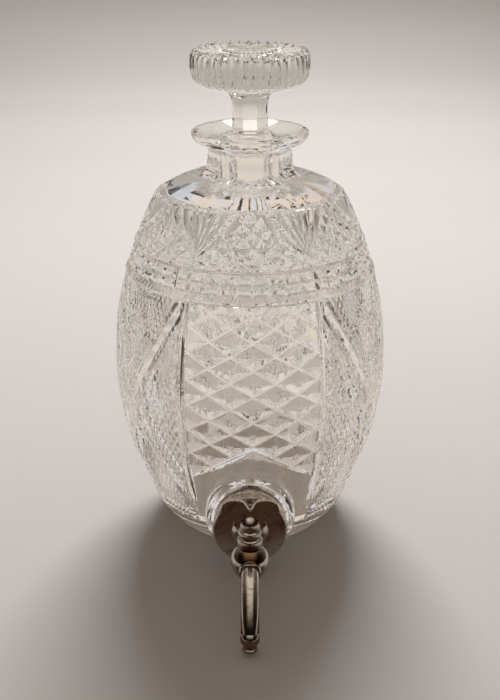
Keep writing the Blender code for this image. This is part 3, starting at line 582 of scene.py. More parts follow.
FAN_POINT_STEP = 5.0
FIELD_SLOPE = (FAN_TOP - FAN_FOOT) / PANEL_HALF
FIELD_ROW = (FAN_TOP - FAN_FOOT) / FIELD_ROWS / 2
FIELD_HALVES = (
    ((1, 0, 0.0), (0, -1, -FAN_FOOT), (-FIELD_SLOPE, 1, FAN_TOP)),
    ((-1, 0, 0.0), (0, -1, -FAN_FOOT), (FIELD_SLOPE, 1, FAN_TOP)),
)
LATTICE_SLOPE = DIAMOND_ROW / DIAMOND_COLUMN
LATTICE_HALVES = (
    ((1, 0, 0.0), (-1, 0, BORDER), (0, 1, LATTICE_TOP), (LATTICE_SLOPE, -1, -GABLE)),
    ((-1, 0, 0.0), (1, 0, BORDER), (0, 1, LATTICE_TOP), (-LATTICE_SLOPE, -1, -GABLE)),
)


def belt_depth(place):
    """Depth in the belt, the fans and the field, or None below them."""
    height = place.y
    if height < BELT_BOTTOM - 1e-4:
        return None
    for low in (BELT_BOTTOM, BELT_TOP - HOOP_WIDTH):
        if low - 1e-4 <= height <= low + HOOP_WIDTH + 1e-4:
            edge = min(height - low, low + HOOP_WIDTH - height)
            return -HOOP_RISE * min(1.0, edge / HOOP_RISE)
    if height < BELT_TOP:
        first = BELT_BOTTOM + HOOP_WIDTH + BLOCK_CUT
        last = BELT_TOP - HOOP_WIDTH - BLOCK_CUT
        away = min(abs(height - row) for row in (first, (first + last) / 2, last))
        away = min(away, abs(place.x - BLOCK_WIDTH * round(place.x / BLOCK_WIDTH)))
        return BLOCK_DEPTH * max(0.0, 1 - away / BLOCK_CUT)
    if height < FAN_FOOT + 1e-4 or height > FAN_TOP + 1e-4:
        return 0.0
    if any(in_limits(place, limits) for limits in FIELD_HALVES):
        half_pitch = FIELD_ROW / sqrt(1 + FIELD_SLOPE ** 2)
        away = lattice_distance(place, FAN_TOP, FIELD_ROW, FIELD_SLOPE, half_pitch)
        return FIELD_DEPTH * (1 - away / half_pitch)
    run = PANEL_HALF - abs(place.x)
    rise = height - FAN_FOOT
    angle = atan2(run, rise)
    away = abs(angle - FAN_STEP * round(angle / FAN_STEP)) / (FAN_STEP / 2)
    return min(FAN_DEPTH, FAN_SLOPE_SHARE * hypot(run, rise)) * (1 - away)


def draw_diamond_panel():
    panel = Panel()
    half_pitch = DIAMOND_ROW / sqrt(1 + LATTICE_SLOPE ** 2)
    draw_lattice(
        panel, DIAMOND_CENTRE, DIAMOND_ROW, DIAMOND_COLUMN, DIAMOND_STRIP, LATTICE_HALVES,
        (FOOT_TOP, LATTICE_TOP),
    )
    for side in (-1, 1):
        foot = (side * BORDER, GABLE - LATTICE_SLOPE * BORDER)
        panel.groove((0.0, GABLE), foot, BORDER_WIDTH, DIAMOND_DEPTH)
    for k in range(-6, 7):
        for m in range(-3, 4):
            centre = Vector((DIAMOND_COLUMN * m, DIAMOND_CENTRE + DIAMOND_ROW * k))
            if (m + k) % 2 == 0 or abs(centre.x) > BORDER - DIAMOND_COLUMN / 2:
                continue
            if centre.y < GABLE - LATTICE_SLOPE * abs(centre.x) + DIAMOND_ROW / 2:
                continue
            if centre.y > LATTICE_TOP - DIAMOND_ROW / 2:
                continue
            centre.y -= STAR_DROP
            for turn, length in enumerate(STAR_LENGTHS):
                angle = pi * turn / len(STAR_LENGTHS)
                arm = Vector((cos(angle), sin(angle))) * length
                taper = length * 0.8
                panel.groove(
                    centre - arm, centre + arm, STAR_WIDTH, STAR_DEPTH, taper, taper, added=True
                )

    def depth(place):
        found = belt_depth(place)
        if found is not None:
            return found
        cut = panel.depth(place)
        if any(in_limits(place, limits) for limits in LATTICE_HALVES):
            away = lattice_distance(place, DIAMOND_CENTRE, DIAMOND_ROW, LATTICE_SLOPE, half_pitch)
            away = max(0.0, away - DIAMOND_STRIP - 1e-3)
            stars = sum_added(panel, place)
            pyramid = DIAMOND_DEPTH * (1 - away / (half_pitch - DIAMOND_STRIP))
            return max(cut - stars, pyramid) + stars
        return cut

    return panel, depth


def sum_added(panel, place):
    """The part of the depth that the small stars add."""
    kept = panel.grooves
    panel.grooves = [groove for groove in kept if groove[7]]
    found = panel.depth(place)
    panel.grooves = kept
    return found


def arm_side(place, sign):
    """How far above the upper line of an arm a place is, in hobnail pitches."""
    rise = place.y - ARM_CENTRE - sign * ARM_SLOPE * place.x
    return rise / sqrt(1 + ARM_SLOPE ** 2) / HOBNAIL_PITCH


def draw_arm_panel():
    panel = Panel()
    row = HOBNAIL_PITCH * sqrt(1 + ARM_SLOPE ** 2) / 2
    limits = ((1, 0, BORDER), (-1, 0, BORDER), (0, 1, LATTICE_TOP), (0, -1, -FOOT_TOP - ARM_FOOT_RISE))
    draw_lattice(
        panel, ARM_CENTRE, row, row / ARM_SLOPE, 0.0, (limits,),
        (FOOT_TOP + ARM_FOOT_RISE, LATTICE_TOP),
    )
    for sign in (-1, 1):
        for lower in (0.0, 4 * row):
            middle = ARM_CENTRE - lower
            up = min(BORDER, (LATTICE_TOP - middle) / ARM_SLOPE)
            down = min(BORDER, (middle - FOOT_TOP - ARM_FOOT_RISE) / ARM_SLOPE)
            panel.groove(
                (-sign * down, middle - ARM_SLOPE * down), (sign * up, middle + ARM_SLOPE * up),
                ARM_CUT, ARM_DEPTH,
            )
        for across, height in PUNTY_PLACES:
            panel.disc((sign * across, height), PUNTY_RADIUS, PUNTY_DEPTH)
    panel.groove(
        (0.0, KITE_FOOT), (0.0, KITE_TOP), KITE_WIDTH, KITE_DEPTH,
        (KITE_TOP - KITE_FOOT) * 0.55, (KITE_TOP - KITE_FOOT) * 0.45,
    )
    for turn in range(SUNBURST_RAYS):
        angle = pi * turn / SUNBURST_RAYS
        arm = Vector((cos(angle), sin(angle))) * SUNBURST_RADIUS
        centre = Vector(SUNBURST_CENTRE)
        panel.groove(
            centre - arm, centre + arm, STAR_WIDTH * 2, ARM_DEPTH,
            SUNBURST_RADIUS * 0.7, SUNBURST_RADIUS * 0.7,
        )
    half_pitch = HOBNAIL_PITCH / 2

    def depth(place):
        found = belt_depth(place)
        if found is not None:
            return found
        cut = panel.depth(place)
        if in_limits(place, limits) and not cut:
            away = lattice_distance(place, ARM_CENTRE, row, ARM_SLOPE, half_pitch)
            cut = HOBNAIL_DEPTH * (1 - away / half_pitch)
            for sign in (-1, 1):
                if -2.02 < arm_side(place, sign) < 0.02:
                    cut = 0.0
        return cut

    return panel, depth


# Round the foot, shoulder, neck and lip the drawing goes on as plain rows, each (distance up the
# skin, radius, height, share of the six-sided shape).
UPPER_ROWS = (
    (227.4, 57.2, 227.2, 0.10), (230.5, 54.6, 229.8, 0.30), (234.5, 50.0, 232.6, 0.60),
    (240.0, 43.0, 234.6, 0.85), (246.0, 36.0, 235.6, 1.00), (251.0, 30.5, 236.1, 1.00),
    (253.0, 28.3, 237.0, 1.00), (255.5, 26.3, 239.6, 1.00), (261.0, 25.2, 244.0, 1.00),
    (267.0, 25.0, 249.0, 1.00), (271.0, 25.0, 252.2, 0.95), (273.0, 25.7, 253.6, 0.50),
    (275.5, 27.6, 255.4, 0.10), (279.5, 31.4, 257.4, 0.00), (283.0, 34.8, 259.2, 0.00),
    (286.0, 36.9, 261.4, 0.00), (288.0, 37.5, 263.2, 0.00), (289.6, 37.2, 264.6, 0.00),
    (290.9, 36.0, 265.3, 0.00), (292.5, 34.2, 265.5, 0.00),
)
LOWER_ROWS = ((0.0, 52.2, 0.0), (1.2, 53.4, 1.2), (6.0, 55.6, 6.0))
FOOT_COLUMNS = 16
SIDE_STEP = 3.0
BORDER_TAPER = 4.0
FILL_COLUMNS = 18
FILL_ROW = 5.0
FILL_LIFT = 0.7
FILL_SHIFT = 0.25


def skin_place(place, depth):
    """Where a place of the flat drawing lies on the jar, in metres."""
    angle = place.x / BARREL_RADIUS
    along = place.y
    facets = 0.0
    if along <= FOOT_TOP:
        rows = (*LOWER_ROWS, (FOOT_TOP, barrel_radius(FOOT_TOP), FOOT_TOP))
        radius = smooth_value([(row[0], row[1]) for row in rows], along)
        height = along
    elif along <= FAN_TOP + 1e-6:
        radius, height = barrel_radius(along) - depth, along
    else:
        rows = ((FAN_TOP, barrel_radius(FAN_TOP), FAN_TOP, 0.0), *UPPER_ROWS)
        index = 0
        while index < len(rows) - 2 and along > rows[index + 1][0]:
            index += 1
        low, high = rows[index], rows[index + 1]
        share = (along - low[0]) / (high[0] - low[0])
        radius, height, facets = [a + (b - a) * share for a, b in zip(low[1:], high[1:])]
    if facets:
        flat = cos(pi / PANELS) / cos(angle)
        corner = 1 + (1 / cos(pi / PANELS) - 1) * 0.5
        radius *= 1 + (flat * corner - 1) * facets
    return angle, radius * MM, height * MM


def panel_mesh(panel, depth):
    """Triangles of one panel, in (angle, radius, height), with border points that all share."""
    heights = sorted(
        {row[0] for row in LOWER_ROWS} | {row[0] for row in UPPER_ROWS}
        | {FOOT_TOP, FAN_TOP, FAN_FOOT, BELT_BOTTOM, BELT_TOP, LATTICE_TOP}
    )
    for height in heights:
        if height < FOOT_TOP + 1 or height > FAN_TOP + 0.5:
            panel.line((-PANEL_HALF, height), (PANEL_HALF, height), 2 * PANEL_HALF / FOOT_COLUMNS)
    top = heights[-1]
    draw_belt_and_fans(panel)
    for side in (-PANEL_HALF, PANEL_HALF):
        panel.line((side, 0.0), (side, top), SIDE_STEP)
    for side in (-BORDER, BORDER):
        panel.groove(
            (side, BORDER_FOOT), (side, LATTICE_TOP), BORDER_WIDTH, BORDER_DEPTH, BORDER_TAPER
        )
    for row in range(floor(FOOT_TOP / FILL_ROW) + 1, floor(FAN_TOP / FILL_ROW)):
        height = row * FILL_ROW + FILL_LIFT
        if BELT_BOTTOM < height < BELT_TOP:
            continue
        for column in range(1, FILL_COLUMNS):
            shift = FILL_SHIFT if row % 2 else -FILL_SHIFT
            across = (column + shift) / FILL_COLUMNS * 2 * PANEL_HALF - PANEL_HALF
            panel.point((across, height))
    places, _, faces, _, _, _ = delaunay_2d_cdt(panel.points, panel.edges, [], 0, 1e-4)
    depths = [depth(place) for place in places]
    vertices = [skin_place(place, cut) for place, cut in zip(places, depths)]
    return vertices, depths, faces


WELD = 0.00001


def wrap_jar():
    """Six panels round the barrel as one skin, closed over the mouth and under the foot."""
    skin = bmesh.new()
    cut_depth = skin.verts.layers.float.new("cut_depth")
    kinds = [panel_mesh(*draw_diamond_panel()), panel_mesh(*draw_arm_panel())]
    for index in range(PANELS):
        vertices, depths, faces = kinds[index % 2]
        turn = PATTERN_TURN + index * 2 * pi / PANELS
        made = [
            skin.verts.new((radius * sin(angle + turn), -radius * cos(angle + turn), height))
            for angle, radius, height in vertices
        ]
        for vertex, cut in zip(made, depths):
            vertex[cut_depth] = cut
        for face in faces:
            skin.faces.new([made[corner] for corner in face])
    bmesh.ops.remove_doubles(skin, verts=skin.verts, dist=WELD)
    rims = [edge for edge in skin.edges if edge.is_boundary]
    bmesh.ops.holes_fill(skin, edges=rims)
    bmesh.ops.recalc_face_normals(skin, faces=skin.faces)
    mesh = bpy.data.meshes.new("bottle")
    skin.to_mesh(mesh)
    skin.free()
    return mesh


def turned_mesh(name, profile, steps, forwards=None):
    """A turned solid of a profile (radius, height), laid along the tap's axis by forwards."""
    body = bmesh.new()
    rings = []
    for radius, height in profile:
        if radius == 0:
            rings.append([body.verts.new((0.0, 0.0, height * MM))])
            continue
        ring = []
        for step in range(steps):
            angle = 2 * pi * step / steps
            place = (radius * MM * cos(angle), radius * MM * sin(angle), height * MM)
            ring.append(body.verts.new(place))
        rings.append(ring)
    pairs = list(zip(rings, rings[1:]))
    if len(rings[0]) > 1:
        pairs.append((rings[-1], rings[0]))
    for upper, lower in pairs:
        for step in range(steps):
            after = (step + 1) % steps
            if len(upper) == 1:
                body.faces.new((upper[0], lower[step], lower[after]))
            elif len(lower) == 1:
                body.faces.new((upper[step], lower[0], upper[after]))
            else:
                body.faces.new((upper[step], lower[step], lower[after], upper[after]))
    bmesh.ops.recalc_face_normals(body, faces=body.faces)
    if forwards is not None:
        for vertex in body.verts:
            x, y, z = vertex.co
            vertex.co = (x, -z, y + forwards * MM)
    mesh = bpy.data.meshes.new(name)
    body.to_mesh(mesh)
    body.free()
    return mesh


def carve(piece, tool_mesh, operation="DIFFERENCE"):
    """Join or cut a solid with another, as plain mesh."""
    tool = link_object(piece.name + "_tool", tool_mesh)
    change = piece.modifiers.new("carve", "BOOLEAN")
    change.operation = operation
    change.solver = "EXACT"
    change.object = tool
    evaluated = piece.evaluated_get(bpy.context.evaluated_depsgraph_get())
    mesh = bpy.data.meshes.new_from_object(evaluated)
    piece.modifiers.clear()
    piece.data = mesh
    bpy.data.objects.remove(tool)


def finish_shading(piece, angle):
    piece.data.shade_smooth()
    piece.data.set_sharp_from_angle(angle=radians(angle))


jar = link_object("cut_glass_jar", wrap_jar())

TAP_HEIGHT = 33.4
BOSS_FRONT = 84.2
BOSS_PROFILE = (
    (0.0, BOSS_FRONT), (24.6, BOSS_FRONT), (25.6, BOSS_FRONT - 0.6), (27.6, BOSS_FRONT - 2.4),
    (28.6, BOSS_FRONT - 4.6), (28.8, BOSS_FRONT - 8.0), (28.8, 30.0), (0.0, 30.0),
)
carve(jar, turned_mesh("boss", BOSS_PROFILE, 96, TAP_HEIGHT), "UNION")

WALL = 7.0
FLOOR_HEIGHT = 12.5
MOUTH_PROFILE = (
    (0.0, 275.0), (44.0, 275.0), (34.4, 265.6), (33.2, 265.2), (30.0, 264.0), (24.0, 262.0),
    (18.6, 260.4), (15.6, 259.9), (14.5, 259.2), (13.7, 233.0), (14.6, 231.4), (17.4, 229.8),
)
HOLLOW_SHARES = (
    0.955, 0.93, 0.90, 0.86, 0.82, 0.76, 0.70, 0.64, 0.58, 0.52, 0.46, 0.40, 0.34, 0.28, 0.22,
    0.17, 0.12, 0.09,
)
THICKER_FROM_SHARE = 0.85
hollow = list(MOUTH_PROFILE)
for share in HOLLOW_SHARES:
    height = BARREL_HEIGHT * share
    wall = WALL * (1.0 + max(0.0, share - THICKER_FROM_SHARE) * 4)
    hollow.append((barrel_radius(height) - wall, height))
floor_radius = barrel_radius(FLOOR_HEIGHT) - WALL
hollow += [
    (floor_radius - 0.8, 16.0), (floor_radius - 2.6, 13.8), (floor_radius - 6.0, FLOOR_HEIGHT),
    (floor_radius / 2, FLOOR_HEIGHT), (0.0, FLOOR_HEIGHT),
]
carve(jar, turned_mesh("hollow", hollow, 128))

BORE_PROFILE = (
    (0.0, BOSS_FRONT + 5), (6.0, BOSS_FRONT + 5), (6.0, 66.5), (13.8, 66.5), (13.8, 50.0), (0.0, 50.0)
)
carve(jar, turned_mesh("bore", BORE_PROFILE, 48, TAP_HEIGHT))

# Polishing takes a hair off the whole barrel.
POLISHED_AWAY_SHARE = 0.99985
jar.data.transform(Matrix.Diagonal((POLISHED_AWAY_SHARE, POLISHED_AWAY_SHARE, 1.0, 1.0)))

CAUGHT_DARK = 0x3A332D
FIRE_BLUE = 0xD2D5DC
FIRE_AMBER = 0xE8D4BE
CAUGHT_AFTER = 2.5
CAUGHT_WAVE = (-0.95, -0.50)
FACET_TURNS = (17.0, 13.0, 23.0)
FIRE_TURNS = (11.0, 29.0, 7.0)


def catch_light(tree, shader):
    """A stand-in for light thrown about inside the thick wall, where a traced path ends in black.

    After a few mirror bounces each facet gives a tone of its own, dark or faintly coloured.
    """
    path = add_node(tree, "ShaderNodeLightPath")
    caught = add_node(
        tree, "ShaderNodeMath", {0: path.outputs["Glossy Depth"], 1: CAUGHT_AFTER},
        operation="GREATER_THAN",
    )
    facing = add_node(tree, "ShaderNodeNewGeometry")
    turns = add_node(
        tree, "ShaderNodeVectorMath", {0: facing.outputs["True Normal"], 1: FACET_TURNS},
        operation="DOT_PRODUCT",
    )
    wave = add_node(tree, "ShaderNodeMath", {0: turns.outputs["Value"]}, operation="SINE")
    share = add_node(
        tree, "ShaderNodeMapRange",
        {"Value": wave.outputs[0], "From Min": CAUGHT_WAVE[0], "From Max": CAUGHT_WAVE[1]},
        interpolation_type="SMOOTHSTEP",
    )
    spread = add_node(
        tree, "ShaderNodeVectorMath", {0: facing.outputs["True Normal"], 1: FIRE_TURNS},
        operation="DOT_PRODUCT",
    )
    rainbow = add_node(tree, "ShaderNodeMath", {0: spread.outputs["Value"]}, operation="SINE")
    hue = add_node(
        tree, "ShaderNodeMapRange", {"Value": rainbow.outputs[0], "From Min": -1.0, "From Max": 1.0}
    )
    fire = add_node(
        tree, "ShaderNodeMix",
        {0: hue.outputs[0], 6: colour(FIRE_BLUE), 7: colour(FIRE_AMBER)}, data_type="RGBA",
    )
    tone = add_node(
        tree, "ShaderNodeMix",
        {0: share.outputs[0], 6: colour(CAUGHT_DARK), 7: fire.outputs[2]}, data_type="RGBA",
    )
    soft = add_node(tree, "ShaderNodeEmission", {"Color": tone.outputs[2]})
    either = add_node(
        tree, "ShaderNodeMixShader", {0: caught.outputs[0], 1: shader.outputs[0], 2: soft.outputs[0]}
    )
    tree.links.new(either.outputs[0], tree.nodes["Material Output"].inputs["Surface"])


# Lead crystal: clear and very slightly grey, polished, so that each cut face is a small mirror
# and lens. A faint unevenness of the polish breaks the reflections up. The bottom of each wheel
# line is a little matt and given a faint painted glow, and the deep kite cuts are tinted dark
# with painted shade.
CRYSTAL = 0xFBFBF9
CRYSTAL_IOR = 1.54
POLISH_WAVES = 160.0
POLISHED_ROUGHNESS = 0.012
WHEEL_LINE_ROUGHNESS = 0.35
# Painted light: the bottom of each wheel line glows faintly in this tone.
WHEEL_LINE_GLOW = 0x685F57
LINE_SHARES = (0.97, 0.998)
PAST_LINE_SHARES = (1.02, 1.01)
BORDER_LINE_SHARE = 0.4
# Painted shade: the deep kite cuts are tinted dark in the glass's own colour.
KITE_PAINTED_SHADE = 0x4E4741
KITE_SHARES = (0.9, 0.97)
cut_glass, tree, shader = new_material("polished_lead_crystal")
place = add_node(tree, "ShaderNodeTexCoord")
waves = add_node(
    tree, "ShaderNodeTexNoise", {"Vector": place.outputs["Object"], "Scale": POLISH_WAVES, "Detail": 2.0}
)
polish = add_node(
    tree, "ShaderNodeBump", {"Height": waves.outputs[0], "Strength": 0.05, "Distance": 0.001}
)
cuts = add_node(tree, "ShaderNodeAttribute", attribute_name="cut_depth")
wheel_line = add_node(
    tree, "ShaderNodeMapRange",
    {"Value": cuts.outputs["Fac"], "From Min": DIAMOND_DEPTH * LINE_SHARES[0],
     "From Max": DIAMOND_DEPTH * LINE_SHARES[1]},
)
deeper = add_node(
    tree, "ShaderNodeMapRange",
    {"Value": cuts.outputs["Fac"], "From Min": DIAMOND_DEPTH * PAST_LINE_SHARES[0],
     "From Max": DIAMOND_DEPTH * PAST_LINE_SHARES[1]},
)
shallow_line = add_node(
    tree, "ShaderNodeMapRange",
    {"Value": cuts.outputs["Fac"], "From Min": BORDER_DEPTH * LINE_SHARES[0],
     "From Max": BORDER_DEPTH * LINE_SHARES[1], "To Max": BORDER_LINE_SHARE},
)
above = add_node(
    tree, "ShaderNodeMapRange",
    {"Value": cuts.outputs["Fac"], "From Min": BORDER_DEPTH * PAST_LINE_SHARES[0],
     "From Max": BORDER_DEPTH * PAST_LINE_SHARES[1]},
)
shallow_share = add_node(
    tree, "ShaderNodeMath", {0: shallow_line.outputs[0], 1: above.outputs[0]}, operation="MULTIPLY"
)
any_line = add_node(
    tree, "ShaderNodeMath",
    {0: wheel_line.outputs[0], 1: deeper.outputs[0], 2: shallow_share.outputs[0]},
    operation="MULTIPLY_ADD",
)
dulled = add_node(
    tree, "ShaderNodeMapRange",
    {"Value": any_line.outputs[0], "To Min": POLISHED_ROUGHNESS, "To Max": WHEEL_LINE_ROUGHNESS},
)
# Painted light: the wheel lines glow.
painted_line_glow = add_node(
    tree, "ShaderNodeMix",
    {0: any_line.outputs[0], 6: colour(0x000000), 7: colour(WHEEL_LINE_GLOW)}, data_type="RGBA",
)
kite_share = add_node(
    tree, "ShaderNodeMapRange",
    {"Value": cuts.outputs["Fac"], "From Min": KITE_DEPTH * KITE_SHARES[0],
     "From Max": KITE_DEPTH * KITE_SHARES[1]},
)
# Painted shade: the kite cuts are darkened in the base colour.
kite_painted_shade_tint = add_node(
    tree, "ShaderNodeMix",
    {0: kite_share.outputs[0], 6: colour(CRYSTAL), 7: colour(KITE_PAINTED_SHADE)}, data_type="RGBA",
)
tree.links.new(kite_painted_shade_tint.outputs[2], shader.inputs["Base Color"])
shader.inputs["IOR"].default_value = CRYSTAL_IOR
tree.links.new(dulled.outputs[0], shader.inputs["Roughness"])
tree.links.new(painted_line_glow.outputs[2], shader.inputs["Emission Color"])
shader.inputs["Emission Strength"].default_value = 1.0
shader.inputs["Transmission Weight"].default_value = 1.0
tree.links.new(polish.outputs[0], shader.inputs["Normal"])
catch_light(tree, shader)

finish_shading(jar, 10)
jar.data.materials.clear()
jar.data.materials.append(cut_glass)
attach(jar, "jar")
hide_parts("bottle")

# The stopper
# Pressed and wheel-cut from the same lead glass: a thick disc with 36 hollow flutes and a star cut
# into its top, on an eight-sided stem. Its plug is ground matt to fit the neck air-tight.
FLUTES = 36
FLUTE_SECTIONS = 4
STEM_FACETS = 8
STOPPER_ROWS = (
    (0.0, 233.0, 0.0, 0.0, 0), (11.0, 233.0, 0.0, 0.0, 0), (12.8, 233.4, 0.0, 0.0, 0),
    (13.4, 234.2, 0.0, 0.0, 0), (13.7, 241.0, 0.0, 0.0, 0), (14.0, 250.0, 0.0, 0.0, 0),
    (14.2, 258.8, 0.0, 0.0, 0), (13.9, 259.4, 0.0, 0.0, 0), (14.3, 259.8, 0.0, 0.0, 0),
    (14.6, 260.6, 0.0, 0.0, 0), (14.3, 261.5, 0.0, 0.0, 0), (13.2, 262.2, 0.0, 0.0, 0),
    (12.4, 263.2, 0.0, 0.0, 1), (12.0, 266.0, 0.0, 0.0, 1), (11.6, 271.0, 0.0, 0.0, 1),
    (11.5, 276.0, 0.0, 0.0, 1), (11.6, 281.0, 0.0, 0.0, 1), (12.0, 285.0, 0.0, 0.0, 1),
    (12.9, 287.6, 0.0, 0.0, 1), (14.8, 289.2, 0.0, 0.0, 0), (14.9, 290.0, 0.0, 0.0, 0),
    (17.5, 290.6, 0.0, 0.0, 0), (23.0, 291.9, 0.0, 0.0, 0), (28.0, 293.2, 0.0, 0.0, 0),
    (31.5, 294.5, 0.2, 0.0, 0), (34.2, 296.2, 0.8, 0.0, 0), (36.0, 298.4, 1.2, 0.0, 0),
    (37.1, 301.0, 1.4, 0.0, 0), (37.5, 304.0, 1.4, 0.0, 0), (37.5, 309.0, 1.4, 0.0, 0),
    (37.2, 312.0, 1.4, 0.0, 0), (36.4, 314.2, 1.4, 0.6, 0), (35.0, 315.6, 1.2, 1.6, 0),
    (33.0, 316.2, 0.8, 1.8, 0), (29.0, 316.0, 0.3, 1.7, 0), (24.0, 315.4, 0.0, 1.3, 0),
    (19.5, 314.9, 0.0, 0.7, 0), (17.2, 314.8, 0.0, 0.2, 0), (16.6, 315.2, 0.0, 0.0, 0),
    (15.8, 316.5, 0.0, 0.6, 0), (14.6, 317.0, 0.0, 1.0, 0), (10.0, 316.8, 0.0, 0.9, 0),
    (5.0, 316.6, 0.0, 0.5, 0), (0.0, 316.4, 0.0, 0.0, 0),
)


FACET_CORNER_SHARE = 1.04


def facet_share(angle, facets):
    """Radius of a regular polygon, with a flat towards the tap, as a share of its corners'."""
    pitch = 2 * pi / facets
    offset = (angle + pitch / 2) % pitch - pitch / 2
    return cos(pitch / 2) / cos(offset) * FACET_CORNER_SHARE


def ring_mesh(name, rings):
    """A closed skin over rings of points, where a ring of one point is a pole."""
    skin = bmesh.new()
    made = [[skin.verts.new(place) for place in ring] for ring in rings]
    for lower, upper in zip(made, made[1:]):
        count = max(len(lower), len(upper))
        for index in range(count):
            after = (index + 1) % count
            if len(lower) == 1:
                skin.faces.new((lower[0], upper[after], upper[index]))
            elif len(upper) == 1:
                skin.faces.new((lower[index], lower[after], upper[0]))
            else:
                skin.faces.new((lower[index], lower[after], upper[after], upper[index]))
    bmesh.ops.recalc_face_normals(skin, faces=skin.faces)
    mesh = bpy.data.meshes.new(name)
    skin.to_mesh(mesh)
    skin.free()
    return mesh


stopper_rings = []
columns = FLUTES * FLUTE_SECTIONS
for radius, height, flute, notch, faceted in STOPPER_ROWS:
    if radius == 0:
        stopper_rings.append([(0.0, 0.0, height * MM)])
        continue
    ring = []
    for column in range(columns):
        angle = 2 * pi * column / columns
        hollow_share = sin(pi * (column % FLUTE_SECTIONS) / FLUTE_SECTIONS)
        away = radius - flute * hollow_share
        if faceted:
            away *= facet_share(angle, STEM_FACETS)
        drop = notch * hollow_share
        turned = angle + PATTERN_TURN
        ring.append((away * MM * sin(turned), -away * MM * cos(turned), (height - drop) * MM))
    stopper_rings.append(ring)
stopper = link_object("fluted_stopper", ring_mesh("fluted_stopper", stopper_rings))

# The same crystal, with the plug's ground band: grey and matt, like fine emery left it, and lightened by
# a faint painted glow.
ground_crystal, tree, shader = new_material("crystal_with_ground_plug")
place = add_node(tree, "ShaderNodeTexCoord")
parts = add_node(tree, "ShaderNodeSeparateXYZ", {0: place.outputs["Object"]})
GROUND_TOP = 259.3 * MM
GROUND_EDGE = 0.3 * MM
GROUND_GRIT = 2200.0
GROUND_ROUGHNESS = 0.42
GROUND_GLOW = 0x6E6861
ground = add_node(
    tree, "ShaderNodeMapRange",
    {"Value": parts.outputs["Z"], "From Min": GROUND_TOP, "From Max": GROUND_TOP - GROUND_EDGE},
)
grit = add_node(
    tree, "ShaderNodeTexNoise", {"Vector": place.outputs["Object"], "Scale": GROUND_GRIT, "Detail": 3.0}
)
scratches = add_node(
    tree, "ShaderNodeMath", {0: grit.outputs[0], 1: ground.outputs[0]}, operation="MULTIPLY"
)
matt = add_node(
    tree, "ShaderNodeBump", {"Height": scratches.outputs[0], "Strength": 0.25, "Distance": 0.0004}
)
rough = add_node(
    tree, "ShaderNodeMath", {0: ground.outputs[0], 1: GROUND_ROUGHNESS}, operation="MULTIPLY"
)
shader.inputs["Base Color"].default_value = colour(CRYSTAL)
shader.inputs["IOR"].default_value = CRYSTAL_IOR
shader.inputs["Transmission Weight"].default_value = 1.0
# Painted light: the ground band glows faintly.
ground_painted_glow = add_node(
    tree, "ShaderNodeMix",
    {0: ground.outputs[0], 6: colour(0x000000), 7: colour(GROUND_GLOW)}, data_type="RGBA",
)
tree.links.new(ground_painted_glow.outputs[2], shader.inputs["Emission Color"])
shader.inputs["Emission Strength"].default_value = 1.0
tree.links.new(rough.outputs[0], shader.inputs["Roughness"])
tree.links.new(matt.outputs[0], shader.inputs["Normal"])
catch_light(tree, shader)
stopper.data.materials.append(ground_crystal)
finish_shading(stopper, 14)
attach(stopper, "stopper")
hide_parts("stopper")

# Cork washer
# A thin ring of dark pressed cork, squeezed between the glass boss and the silver collar.
WASHER_BACK = 84.5
WASHER_FRONT = 85.7
WASHER_PROFILE = (
    (6.0, WASHER_FRONT), (22.6, WASHER_FRONT), (22.9, WASHER_FRONT - 0.3),
    (22.9, WASHER_BACK + 0.3), (22.6, WASHER_BACK), (6.0, WASHER_BACK),
)
washer = link_object("cork_washer", turned_mesh("cork_washer", WASHER_PROFILE, 96, TAP_HEIGHT))

# Pressed cork: dark brown grains about a millimetre across, in two tones, with fine pits.
GRAIN = 900.0
CORK_TONES = (0x3A2A1C, 0x6A4E34)
pressed_cork, tree, shader = new_material("pressed_cork")
place = add_node(tree, "ShaderNodeTexCoord")
grains = add_node(tree, "ShaderNodeTexVoronoi", {"Vector": place.outputs["Object"], "Scale": GRAIN})
tones = add_node(
    tree, "ShaderNodeMix",
    {0: grains.outputs["Color"], 6: colour(CORK_TONES[0]), 7: colour(CORK_TONES[1])},
    data_type="RGBA",
)
pits = add_node(
    tree, "ShaderNodeBump",
    {"Height": grains.outputs["Distance"], "Strength": 0.4, "Distance": 0.0002},
)
tree.links.new(tones.outputs[2], shader.inputs["Base Color"])
tree.links.new(pits.outputs[0], shader.inputs["Normal"])
shader.inputs["Roughness"].default_value = 0.85
washer.data.materials.append(pressed_cork)
finish_shading(washer, 30)
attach(washer, "jar")
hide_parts("boss_washer")

# Milled collar
# A spun brass cup, silver plated, pulled against the washer by the nut inside the jar. Its side
# is milled with about 160 fine upright ridges, made here by one Geometry Nodes tree.
COLLAR_BACK = 86.0
COLLAR_FRONT = 98.5
COLLAR_PROFILE = (
    (5.1, COLLAR_FRONT - 0.1), (11.0, COLLAR_FRONT), (21.9, COLLAR_FRONT), (22.5, COLLAR_FRONT - 0.15),
    (22.9, COLLAR_FRONT - 0.5), (23.05, COLLAR_FRONT - 1.0), (22.95, COLLAR_FRONT - 1.5),
    (22.6, COLLAR_FRONT - 1.7), (22.6, COLLAR_BACK + 1.0), (22.95, COLLAR_BACK + 0.8),
    (22.95, COLLAR_BACK + 0.2), (22.8, COLLAR_BACK), (21.8, COLLAR_BACK), (21.8, COLLAR_FRONT - 1.8),
    (5.1, COLLAR_FRONT - 1.8),
)
collar = link_object("milled_collar", turned_mesh("milled_collar", COLLAR_PROFILE, 160, TAP_HEIGHT))
